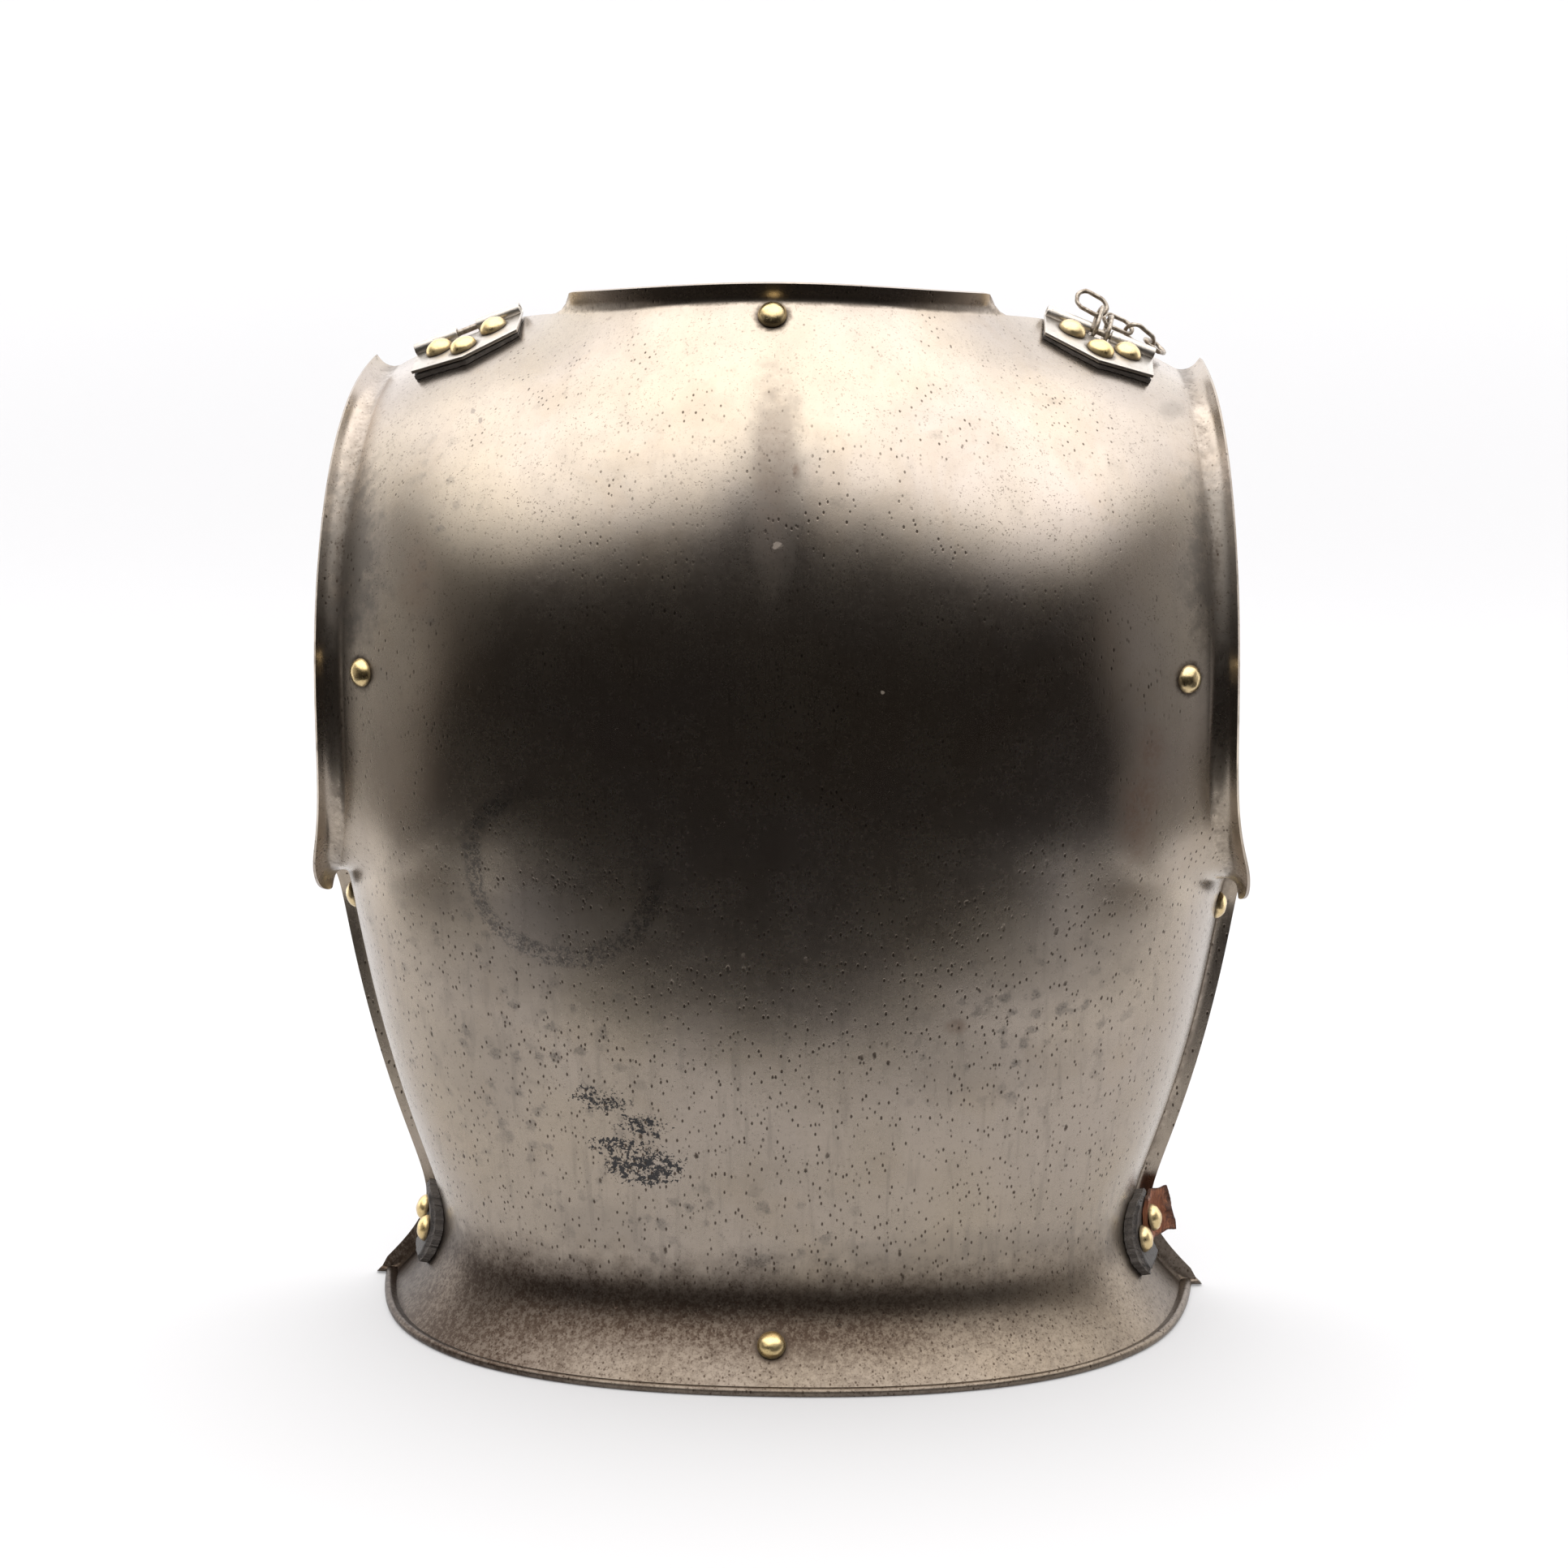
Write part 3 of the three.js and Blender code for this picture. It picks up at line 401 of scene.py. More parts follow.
class Finish(Nodes):
    """A material of one piece: places in millimetres, and patterns of a stated size."""

    def __init__(self, name, **constants):
        self.material = bpy.data.materials.new(name)
        self.material.use_nodes = True
        super().__init__(self.material.node_tree)
        self.shader = self.tree.nodes["Principled BSDF"]
        for key, value in constants.items():
            self.shader.inputs[key.replace("_", " ")].default_value = value
        self.place = self.vector("SCALE", self.make("ShaderNodeTexCoord", output=3), Scale=1 / MM)
        self.x, self.y, self.z = self.parts(self.place)

    def share(self, name):
        return self.make("ShaderNodeAttribute", output=2, attribute_name=name)

    def stretched(self, x, y, z):
        return self.vector("MULTIPLY", self.place, (1 / x, 1 / y, 1 / z))

    def slanted(self, rotation, x, y, z):
        return self.make("ShaderNodeMapping", {"Vector": self.place, "Rotation": rotation,
                                               "Scale": (1 / x, 1 / y, 1 / z)})

    def cloud(self, size, detail=4, roughness=0.55, vector=None, twist=0):
        return self.make("ShaderNodeTexNoise", {
            "Vector": vector or self.place, "Scale": 1 / size, "Detail": detail,
            "Roughness": roughness, "Distortion": twist})

    def cells(self, size, output=0, vector=None, feature="F1"):
        values = {"Vector": vector or self.place, "Scale": 1 / size}
        return self.make("ShaderNodeTexVoronoi", values, output, feature=feature)

    def away_from(self, point):
        """Distance from a point, in millimetres."""
        return self.vector("LENGTH", self.vector("SUBTRACT", self.place, tuple(point)), output=1)

    def spot(self, centre, radii, rag, soft):
        """1 inside an oval patch, ragged by a pattern, and 0 outside it."""
        away = self.vector("MULTIPLY", self.vector("SUBTRACT", self.place, centre),
                           tuple(1 / radius for radius in radii))
        return 1 - (self.vector("LENGTH", away, output=1) + rag).span(1 - soft, 1 + soft)

    def painted(self, colour, layers):
        """A colour with others laid over it one by one, each as strong as its share."""
        for share, tone in layers:
            colour = self.mix(share, colour, tone)
        return colour

    def feed(self, **links):
        for key, wire in links.items():
            self.tree.links.new(wire.socket, self.shader.inputs[key.replace("_", " ")])

    def bump(self, height):
        """Normal from a height in millimetres."""
        self.feed(Normal=self.make("ShaderNodeBump", {"Strength": 1.0, "Distance": MM, "Height": height}))

    def dress(self, *pieces):
        for piece in pieces:
            piece.data.materials.clear()
            piece.data.materials.append(self.material)


def spread_of(node):
    """Middle of a node's own points, their offsets from it, and how far and which ways they spread."""
    corners = np.unique(np.round([v.co[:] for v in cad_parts[node].data.vertices], 7), axis=0) / MM
    centre = corners.mean(0)
    spreads, ways = np.linalg.eigh(np.cov((corners - centre).T))
    return centre, corners - centre, spreads, ways


HEAD_EDGE = 0.9  # share of a head's radius from which on its points lie at its edge


def head_axis(node):
    """Top, direction and length of a rivet of the frame, from the spread of its own points."""
    centre, offsets, spreads, ways = spread_of(node)
    odd = 0 if abs(spreads[1] - spreads[0]) > abs(spreads[2] - spreads[1]) else 2
    way = ways[:, odd]
    rises = offsets @ way
    reaches = np.linalg.norm(offsets - rises[:, None] * way, axis=1)
    if rises[reaches > HEAD_EDGE * reaches.max()].mean() < 0:
        way, rises = -way, -rises
    return centre + way * rises.max(), way, rises.max() - rises.min()


rivet_names = sorted(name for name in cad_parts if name.startswith("rivet_"))
rivet_places = {name: head_axis(name) for name in rivet_names}

CRUSTS = [  # black crust: place across and up, half sizes
    (-67, 117, 24, 12),
    (-55, 107, 22, 12),
    (-60, 99, 24, 8),
    (-48, 88, 27, 12),
]
SPOTS = [  # soft dark patches, stains and painted shade: place across and up, half sizes, and how strong
    (-96, 196, 44, 9, 0.7),
    (-112, 172, 34, 26, 0.45),
    (-120, 130, 24, 30, 0.45),
    (-70, 60, 22, 10, 0.4),
    (118, 178, 30, 22, 0.5),
    (92, 132, 34, 14, 0.35),
    (70, 52, 60, 7, 0.45),
    (158, 388, 4.5, 2.6, 0.7),
    (-128, 336, 22, 30, 0.35),
    (146, 300, 18, 34, 0.4),
    # painted dark reflection up the spine groove
    (3, 378, 9, 32, 0.8),
    # the next two are painted shade on the left and right arm flanges
    (-172, 334, 15, 32, 1.7),
    (177, 334, 13, 32, 1.7),
]
RING_PLACE = (-82, 0, 216)  # ring left by something wet
RING_HALF_WIDTH = 38
RING_HALF_HEIGHT = 36
TARNISH = [  # grey freckles in a group: place across and up, half sizes
    (-98, 150, 46, 66),
    (-30, 62, 60, 20),
    (96, 150, 40, 34),
    (-134, 340, 16, 34),
]
RUST_AND_PAINTED_SHADE = [  # brown rust, and painted shade down the spine: place across and up, half sizes, and how strong
    (146, 238, 9, 20, 0.9),
    (150, 262, 6, 10, 0.8),
    (11, 376, 1.2, 2.2, 0.7),
    (74, 152, 4, 3, 0.7),
    # mostly painted dark reflection down the spine groove, with a brown tint
    (2, 366, 7, 34, 0.30),
    (-139, 330, 7, 16, 0.4),
]
FLAKES = [(4, 348, 2.0, 1.7), (45, 292, 0.9, 1.0), (-121, 391, 1.2, 1.0), (-117, 388, 1.0, 1.2)]

DEEP = 400  # stains and painted shade run straight through the sheet
FRECKLE_SIZE = 7.5
PIT_SIZE = 1.55
BIG_PIT_SIZE = 5.5
FOOT_DEPTH = 4  # foot of a rivet's head, below its top
SCRATCHES = [(0.35, 0.5), (1.2, 0.42), (-0.7, 0.55)]  # slant and width
SCRATCH_LENGTH = 34
LIGHT_STEEL = (0.385, 0.336, 0.298)
WARM_STEEL = (0.405, 0.345, 0.276)
MOTTLED_STEEL = (0.27, 0.235, 0.205)
TANNED_STEEL = (0.33, 0.26, 0.19)
LOWER_STEEL = (0.335, 0.278, 0.212)
STREAKED_STEEL = (0.19, 0.165, 0.14)
# dark tone of freckles and stains, also used for painted shade
STAIN_AND_PAINTED_SHADE = (0.15, 0.135, 0.12)
RING_STAIN = (0.085, 0.08, 0.08)
FOOT_BROWN = (0.050, 0.034, 0.025)
CRUST_BLACK = (0.026, 0.028, 0.034)
# colour of rust, also used for painted shade down the spine
RUST_AND_SHADE_BROWN = (0.13, 0.062, 0.035)
PIT_BROWN = (0.044, 0.030, 0.022)
GRIME = (0.045, 0.030, 0.020)
FLAKE = (0.30, 0.25, 0.21)
DULL_LINING = (0.16, 0.13, 0.105)
BROWN_LINING = (0.085, 0.052, 0.034)

steel = Finish("worn_steel", Metallic=1.0)
inside = steel.share("inside")
turn = steel.share("turn")
outer_face = 1 - inside
broad = steel.cloud(85, 2)
mottle = steel.cloud(21, 5, 0.6)
cluster = steel.cloud(38, 4, 0.6, twist=0.6)
blotch = steel.cloud(6.5, 5, 0.62)
fine = steel.cloud(2.2, 5, 0.65)
grain = steel.cloud(0.8, 3, 0.6)
streaks = steel.cloud(1, 4, 0.6, steel.stretched(4.5, 8, 70), 0.3)
drawn = steel.slanted((0.0, 0.35, 0.0), 1.3, 1.3, 2.3)
rag = (mottle - 0.5) * 1.4 + (blotch - 0.5) * 1.5 + (fine - 0.5) * 0.8
lower = 1 - steel.z.span(120, 260)
foot = 1 - (steel.z + (blotch - 0.5) * 16 + (mottle - 0.5) * 14).span(30, 56)


def several(table, values):
    """The strongest of the patches in a table."""
    whole = None
    for row in table:
        patch = values(row)
        whole = patch if whole is None else whole.most(patch)
    return whole


def patch_of(row, ragged, soft):
    x, z, wide, high = row[:4]
    strength = row[4] if len(row) > 4 else 1.0
    return steel.spot((x, 0, z), (wide, DEEP, high), ragged, soft) * strength * outer_face


def flecks(size, ragged, reach, kept, part, vector=None):
    """Ragged dots, one to a cell, in the cells whose random colour is strong in one part."""
    dots = 1 - (steel.cells(size, vector=vector) + ragged).span(*reach)
    return dots * steel.parts(steel.cells(size, 1, vector))[part].span(*kept)


def dirt_round(finish, places, ragged, reach):
    """Ragged rings of dirt round the feet of rivets' heads."""
    return several(places, lambda place: 1 - (
        finish.away_from(place[0] - place[1] * FOOT_DEPTH) + ragged * 4).span(*reach))


# Stains, crust, rust and dirt, and painted shade down the spine and on the arm flanges
stains_and_painted_shade = several(SPOTS, lambda row: patch_of(row, rag, 0.6))
crust = several(CRUSTS, lambda row: patch_of(row, rag * 1.2, 0.8))
crust = (crust * 0.34 + blotch * 0.32 + fine * 0.60 + grain * 0.30).span(0.930, 0.955)
rust_and_painted_shade = several(RUST_AND_PAINTED_SHADE, lambda row: patch_of(row, rag * 0.9, 0.6))
rust_and_painted_shade = rust_and_painted_shade * (0.35 + 0.65 * (fine * 0.6 + blotch * 0.5).span(0.42, 0.66))
tarnish = several(TARNISH, lambda row: patch_of(row, rag * 0.6, 0.7))
flake = several(FLAKES, lambda row: patch_of(row, (fine - 0.5) * 2.6 + 0.2, 0.2))
grime = dirt_round(steel, rivet_places.values(), fine - 0.5, (5.6, 8.6))
root = turn.span(0.01, 0.15) * (1 - turn.span(0.3, 0.7)) * (fine * 0.5 + mottle * 0.8).span(0.48, 0.8)

ring_offset = steel.vector("MULTIPLY", steel.vector("SUBTRACT", steel.place, RING_PLACE),
                           (1 / RING_HALF_WIDTH, 0, 1 / RING_HALF_HEIGHT))
ring = steel.vector("LENGTH", ring_offset, output=1) + (mottle - 0.5) * 0.30 - 1
ring = (1 - (ring * ring).span(0.002, 0.022)) * (fine * 0.6 + grain * 0.5).span(0.50, 0.60) * outer_face
ring = ring * (1 - (steel.x * 0.6 + steel.z - 160).span(20, 50))

# Freckles, pits and small dark dots
freckles = flecks(FRECKLE_SIZE, (blotch - 0.5) * 1.3 + (fine - 0.5) * 0.9, (0.16, 0.42), (0.40, 0.5), 2)
freckles = freckles * (cluster.span(0.52, 0.70) * 0.6).most(tarnish)
freckles = freckles * (0.45 + 0.55 * (grain * 0.6 + fine * 0.5).span(0.50, 0.62))
pits = flecks(PIT_SIZE, (fine - 0.5) * 0.25, (0.12, 0.30), (0.36, 0.46), 0, drawn)
pits = pits * (cluster * 0.6 + mottle * 0.55 + lower * 0.26).span(0.50, 0.70)
big_pits = flecks(BIG_PIT_SIZE, (fine - 0.5) * 0.30, (0.05, 0.15), (0.62, 0.70), 1, drawn)
big_pits = big_pits * (0.25 + 0.75 * lower)
higher = steel.z.span(280, 320) * (1 - steel.z.span(350, 410) * 0.55)
sparse = 0.25 + 0.80 * (1 - cluster.span(0.40, 0.62)).most(foot)
peppers = (grain * 0.75 + fine * 0.40).span(0.655, 0.705) * sparse
peppers = peppers * (0.30 + 0.70 * higher.most(foot).most(tarnish * cluster.span(0.44, 0.60)))
marks = pits.most(big_pits).most(peppers * 0.75)

# Brown foot, lining and the whole colour
foot_wear = foot * (1 - steel.x.span(30, 130) * 0.35)
edge_wear = (1 - steel.z.span(5, 20)) * (1 - (steel.x * steel.x).span(2500, 14000))
foot_wear = foot_wear * (1 - edge_wear * 0.28)
foot_wear = foot_wear * (0.80 + 0.20 * (fine * 0.55 + grain * 0.35 + mottle * 0.2).span(0.46, 0.62))
lining = steel.mix((mottle * 0.7 + fine * 0.4).span(0.45, 0.75), DULL_LINING, BROWN_LINING)
colour = steel.painted(steel.mix(broad.span(0.32, 0.68), LIGHT_STEEL, WARM_STEEL), [
    (mottle.span(0.35, 0.72) * 0.30, MOTTLED_STEEL),
    (cluster.span(0.50, 0.66) * 0.22, TANNED_STEEL),
    (lower * 0.38, LOWER_STEEL),
    (streaks.span(0.52, 0.70) * (0.10 + 0.22 * lower), STREAKED_STEEL),
    (freckles * 0.72, STAIN_AND_PAINTED_SHADE),
    (ring * 0.65, RING_STAIN),
    # stains, and painted shade down the spine and on the arm flanges
    (stains_and_painted_shade * 0.50, STAIN_AND_PAINTED_SHADE),
    (foot_wear, FOOT_BROWN),
    (crust * 0.93, CRUST_BLACK),
    # rust, and painted shade down the spine
    (rust_and_painted_shade * 0.75, RUST_AND_SHADE_BROWN),
    (marks * 0.88, PIT_BROWN),
    ((grime * 0.85).most(root * 0.5), GRIME),
    (flake * 0.6, FLAKE),
    (inside * (1 - turn.span(0.2, 0.6)), lining),
])
scratches = several(SCRATCHES, lambda row: steel.cloud(1, 2, 0.5, steel.slanted(
    (0.3, row[0], 0.0), row[1], row[1], SCRATCH_LENGTH)).span(0.66, 0.74))
rough = 0.265 + (mottle - 0.5) * 0.10 + (fine - 0.5) * 0.08 + freckles * 0.10 + stains_and_painted_shade * 0.10 + foot * 0.10
rough = rough + crust * 0.20 + rust_and_painted_shade * 0.12 + marks * 0.03 + grime * 0.1 + root * 0.1 + inside * 0.24
rough = rough + flake * 0.2 - scratches * 0.06
steel.feed(Base_Color=colour, Roughness=rough.least(0.85).most(0.14),
           Metallic=1 - (rust_and_painted_shade * 0.3).most(flake * 0.8).most(grime * 0.2).most(crust * 0.4))
steel.bump((fine - 0.5) * 0.007 + (mottle - 0.5) * 0.07 - pits * 0.05
           - big_pits * 0.10 - peppers * 0.006 - scratches * 0.006 + crust * (0.03 + grain * 0.04)
           + inside * (steel.cloud(9, 2) - 0.5) * 0.9)
steel.dress(back_plate)
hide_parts("back_plate")
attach(back_plate, "root")

# Brass rivets
# Round-headed brass studs, pressed through the sheet and clenched over inside. They are worn
# smooth on top, with old polish and dirt caught round the foot of each head.
HEAD_RADIUS = 5.8
HEAD_RISE = 4.4
SHANK_RADIUS = 1.9
CLENCH_RADIUS = 3.4
CLENCH_RISE = 1.0
HEAD_SIDES = 40
HEAD_UNDERSIDE = 0.07  # share of the head's rise, below its edge
CLENCH_SIDES = 24
CLENCH_UPPER = 0.3  # share of the clench's rise, above its edge
SHANK_SIDES = 20
RIVET_WOBBLE = (260.0, 0.6)  # fineness and size of the unevenness of worn brass
BRIGHT_BRASS = (0.66, 0.50, 0.24)
GREY_BRASS = (0.62, 0.49, 0.28)
DULL_BRASS = (0.42, 0.30, 0.14)
BRASS_SPECK = (0.16, 0.10, 0.05)
OLD_POLISH = (0.085, 0.055, 0.03)


def piece_tree(name, inputs):
    """A geometry tree with named inputs, and the wires of those inputs."""
    tree = bpy.data.node_groups.new(name, "GeometryNodeTree")
    tree.interface.new_socket("Geometry", in_out="INPUT", socket_type="NodeSocketGeometry")
    tree.interface.new_socket("Geometry", in_out="OUTPUT", socket_type="NodeSocketGeometry")
    kinds = {"Material": "NodeSocketMaterial", "Seed": "NodeSocketInt"}
    for key in inputs:
        tree.interface.new_socket(key, in_out="INPUT", socket_type=kinds.get(key, "NodeSocketFloat"))
    nodes = Nodes(tree)
    start = tree.nodes.new("NodeGroupInput")
    return nodes, {socket.name: Wire(nodes, socket) for socket in start.outputs if socket.name}


def grown(name, tree, inputs, points, **attributes):
    """The plain mesh that a tree makes of points with those attributes, in metres at the origin."""
    mesh = bpy.data.meshes.new(name)
    mesh.from_pydata((np.asarray(points) * MM).tolist(), [], [])
    for key, values in attributes.items():
        data = mesh.attributes.new(key, "FLOAT_VECTOR", "POINT").data
        data.foreach_set("vector", np.asarray(values, np.float32).ravel())
    seed_piece = bpy.data.objects.new(name, mesh)
    bpy.context.scene.collection.objects.link(seed_piece)
    modifier = seed_piece.modifiers.new(name, "NODES")
    modifier.node_group = tree
    for item in tree.interface.items_tree:
        if item.item_type == "SOCKET" and item.in_out == "INPUT" and item.name in inputs:
            modifier[item.identifier] = inputs[item.name]
    graph = bpy.context.evaluated_depsgraph_get()
    result = bpy.data.meshes.new_from_object(seed_piece.evaluated_get(graph), depsgraph=graph)
    bpy.data.objects.remove(seed_piece)
    result.name = name
    piece = bpy.data.objects.new(name, result)
    bpy.context.scene.collection.objects.link(piece)
    return piece


def euler_to(way, along=(0, 0, 1)):
    """Turn that brings +Z onto a direction, and +X as near as can be to another."""
    z_axis = Vector(way).normalized()
    x_axis = Vector(along)
    x_axis = (x_axis - z_axis * x_axis.dot(z_axis)).normalized()
    return Matrix((x_axis, z_axis.cross(x_axis), z_axis)).transposed().to_euler()[:]


def named_vector(nodes, name):
    return nodes.make("GeometryNodeInputNamedAttribute", {"Name": name}, data_type="FLOAT_VECTOR")


def finish_tree(nodes, given, shape, grain, unevenness):
    """The tree's end: real geometry, a little uneven, smooth, in its material."""
    real = nodes.make("GeometryNodeRealizeInstances", {0: shape})
    wobble = nodes.make("ShaderNodeTexNoise", {
        "Vector": nodes.make("GeometryNodeInputPosition"), "W": given["Seed"], "Scale": grain,
        "Detail": 1.0}, 1, noise_dimensions="4D")
    shift = nodes.vector("SCALE", nodes.vector("SUBTRACT", wobble, (0.5, 0.5, 0.5)), Scale=unevenness * MM)
    uneven = nodes.make("GeometryNodeSetPosition", {"Geometry": real, "Offset": shift})
    smooth = nodes.make("GeometryNodeSetShadeSmooth", {"Geometry": uneven})
    nodes.end("NodeGroupOutput", nodes.make("GeometryNodeSetMaterial", {
        "Geometry": smooth, "Material": given["Material"]}))
    return nodes.tree


def rivet_tree():
    nodes, given = piece_tree("rivets", [
        "Head Radius", "Head Rise", "Shank Radius", "Clench Radius", "Clench Rise", "Seed", "Material"])
    turn_by, down = named_vector(nodes, "turn"), named_vector(nodes, "down")
    place = nodes.make("GeometryNodeInputPosition")
    above = nodes.make("ShaderNodeMath", {0: nodes.parts(place)[2], 1: 0.0}, operation="GREATER_THAN")
    points = nodes.make("GeometryNodeMeshToPoints", {"Mesh": given["Geometry"]})

    def moved_along(share):
        return nodes.make("GeometryNodeSetPosition", {
            "Geometry": points, "Offset": nodes.vector("SCALE", down, Scale=share)})

    def dome(radius, rise, under, sides):
        ball = nodes.make("GeometryNodeMeshUVSphere", {
            "Segments": sides, "Rings": sides // 2, "Radius": 1.0})
        tall = rise * above + under * (1 - above)
        size = nodes.make("ShaderNodeCombineXYZ", {0: radius, 1: radius, 2: tall})
        return nodes.make("GeometryNodeSetPosition", {
            "Geometry": ball, "Position": nodes.vector("MULTIPLY", place, size)})

    def at_points(shape, where, **scale):
        return nodes.make("GeometryNodeInstanceOnPoints", {
            "Points": where, "Instance": shape, "Rotation": turn_by, **scale})

    shank = nodes.make("GeometryNodeMeshCylinder", {
        "Vertices": SHANK_SIDES, "Radius": given["Shank Radius"], "Depth": 1.0})
    length = nodes.vector("LENGTH", down, output=1)
    stretch = nodes.make("ShaderNodeCombineXYZ", {0: 1.0, 1: 1.0, 2: length})
    head = dome(given["Head Radius"], given["Head Rise"], given["Head Rise"] * HEAD_UNDERSIDE,
                HEAD_SIDES)
    clench = dome(given["Clench Radius"], given["Clench Rise"] * CLENCH_UPPER, given["Clench Rise"],
                  CLENCH_SIDES)
    joined = nodes.tree.nodes.new("GeometryNodeJoinGeometry")
    for part in (at_points(head, points), at_points(shank, moved_along(0.5), Scale=stretch),
                 at_points(clench, moved_along(1.0))):
        nodes.tree.links.new(part.socket, joined.inputs[0])
    return finish_tree(nodes, given, Wire(nodes, joined.outputs[0]), *RIVET_WOBBLE)


brass = Finish("worn_brass", Metallic=1.0)
brass_mottle = brass.cloud(2.6, 5, 0.6)
brass_fine = brass.cloud(0.5, 4, 0.6)
brass_broad = brass.cloud(30, 2)


def old_polish(place):
    """Dark old polish round the foot of one head."""
    top, way, _ = place
    under = brass.vector("DOT_PRODUCT", brass.vector("SUBTRACT", tuple(top), brass.place), tuple(way), 1)
    near = 1 - brass.away_from(top - way * 2).span(9, 12)
    return (under + (brass_mottle - 0.5) * 2.2).span(2.5, 4.3) * near


foot_dirt = several(rivet_places.values(), old_polish)
brass_specks = brass_fine.span(0.62, 0.70)
brass_colour = brass.painted(brass.mix(brass_broad.span(0.35, 0.65), BRIGHT_BRASS, GREY_BRASS), [
    (brass_mottle.span(0.5, 0.8) * 0.5, DULL_BRASS),
    (brass_specks * 0.5, BRASS_SPECK),
    (foot_dirt * 0.8, OLD_POLISH),
])
brass.feed(Base_Color=brass_colour,
           Roughness=(0.28 + (brass_mottle - 0.5) * 0.16 + brass_specks * 0.2 + foot_dirt * 0.3).most(0.12),
           Metallic=1 - foot_dirt * 0.55)
brass.bump((brass_mottle - 0.5) * 0.07 + (brass_fine - 0.5) * 0.02 - brass_specks * 0.03)

tops, ways, lengths = (np.array(column) for column in zip(*rivet_places.values()))
shafts = lengths - HEAD_RISE - CLENCH_RISE
rivets = grown("brass_rivets", rivet_tree(), {
    "Head Radius": HEAD_RADIUS * MM, "Head Rise": HEAD_RISE * MM, "Shank Radius": SHANK_RADIUS * MM,
    "Clench Radius": CLENCH_RADIUS * MM, "Clench Rise": CLENCH_RISE * MM, "Seed": 7,
    "Material": brass.material,
}, tops - ways * HEAD_RISE, turn=[euler_to(way, (1, 0.2, 0.1)) for way in ways],
    down=-ways * shafts[:, None] * MM)
rivets.data.set_sharp_from_angle(angle=math.radians(50))
brass.dress(rivets)
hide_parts(*rivet_names)
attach(rivets, "root")

# Shoulder strap plates
# The steel ends of the two shoulder straps: a five-sided flat plate, held by three of the rivets,
# with its front edge curled into a hinge roll. The scales of the straps are lost.
TAB_PLACE = (0.86, 0.985)
TAB_HALF_WIDTH = 24
TAB_BACK = 12.5
TAB_POINT = 20
TAB_FRONT = 9
TAB_WALL = 1.5
KNUCKLE_GAP = 9
ROLL_WALL = 1.1
PIN_RADIUS = 1.3
CLEARANCE = 0.3
LINK_WIRE = 1.8
ROLL_STEPS = 22
ROLL_TURN = (-90, 215)  # where the sheet's curl round the pin starts and ends
EDGE_BEVEL = 0.35
BEVEL_FROM = 30
BEVEL_SHARP = 38
SEARCH = 60  # how far out of the sheet a seat looks for it
PALE_STEEL = (0.50, 0.465, 0.425)
SMUDGED_STEEL = (0.36, 0.325, 0.29)
PALE_SPECK = (0.09, 0.065, 0.045)
PALE_SCRATCH = (0.50, 0.485, 0.455)
STRAP_DIRT = (0.07, 0.05, 0.035)
LIGHT_IRON = (0.42, 0.375, 0.32)
BROWN_IRON = (0.21, 0.165, 0.125)
IRON_RUST = (0.16, 0.075, 0.035)


class Seat:
    """A place on the sheet, with the ways across it, ahead and out of it."""

    def __init__(self, across, up, square=False):
        step = 0.004
        sample = skin_points([across - step, across, across + step], [up - step, up, up + step])
        right = unit(sample[1, 2] - sample[1, 0])
        self.out = unit(np.cross(right, sample[2, 1] - sample[0, 1]))
        if square:
            right = np.array([1.0, 0, 0])
            right = unit(right - self.out * right.dot(self.out))
        self.right = right
        self.ahead = np.cross(self.out, right)
        self.origin = sample[1, 1] + np.array([0, FORWARD, 0])

    def at(self, right, ahead, lift=0.0):
        return self.origin + self.right * right + self.ahead * ahead + self.out * lift

    def height(self, right, ahead):
        """Height of the sheet there, or a little below the seat where there is none."""
        start = self.at(right, ahead, SEARCH) * MM
        hit = plate_tree.ray_cast(Vector(start), Vector(-self.out), 2 * SEARCH * MM)
        return -SEARCH if hit[0] is None else SEARCH - hit[3] / MM

    def reach(self, node):
        """Lowest and highest of a CAD node along the three ways."""
        corners = np.array([v.co[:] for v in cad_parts[node].data.vertices]) / MM - self.origin
        spans = [corners @ way for way in (self.right, self.ahead, self.out)]
        return [(span.min(), span.max()) for span in spans]


def swept(section, places):
    """A closed section carried from place to place: points and faces of the solid."""
    count = len(section)
    points = [point for place in places for point in place(section)]
    faces = []
    for k in range(len(places) - 1):
        for i in range(count):
            following = (i + 1) % count
            faces.append([k * count + i, k * count + following,
                          (k + 1) * count + following, (k + 1) * count + i])
    faces.append(list(range(count))[::-1])
    faces.append([(len(places) - 1) * count + i for i in range(count)])
    return points, faces


def roll_section(low):
    """The hinge roll, seen along the pin: the sheet runs on and curls up and back over itself."""
    inner = PIN_RADIUS + CLEARANCE
    outer = inner + ROLL_WALL
    centre = low + outer
    angles = np.linspace(*ROLL_TURN, ROLL_STEPS) * math.pi / 180
    curl = [(TAB_FRONT + outer * math.cos(a), centre + outer * math.sin(a)) for a in angles]
    hollow = [(TAB_FRONT + inner * math.cos(a), centre + inner * math.sin(a)) for a in angles[::-1]]
    return curl + hollow


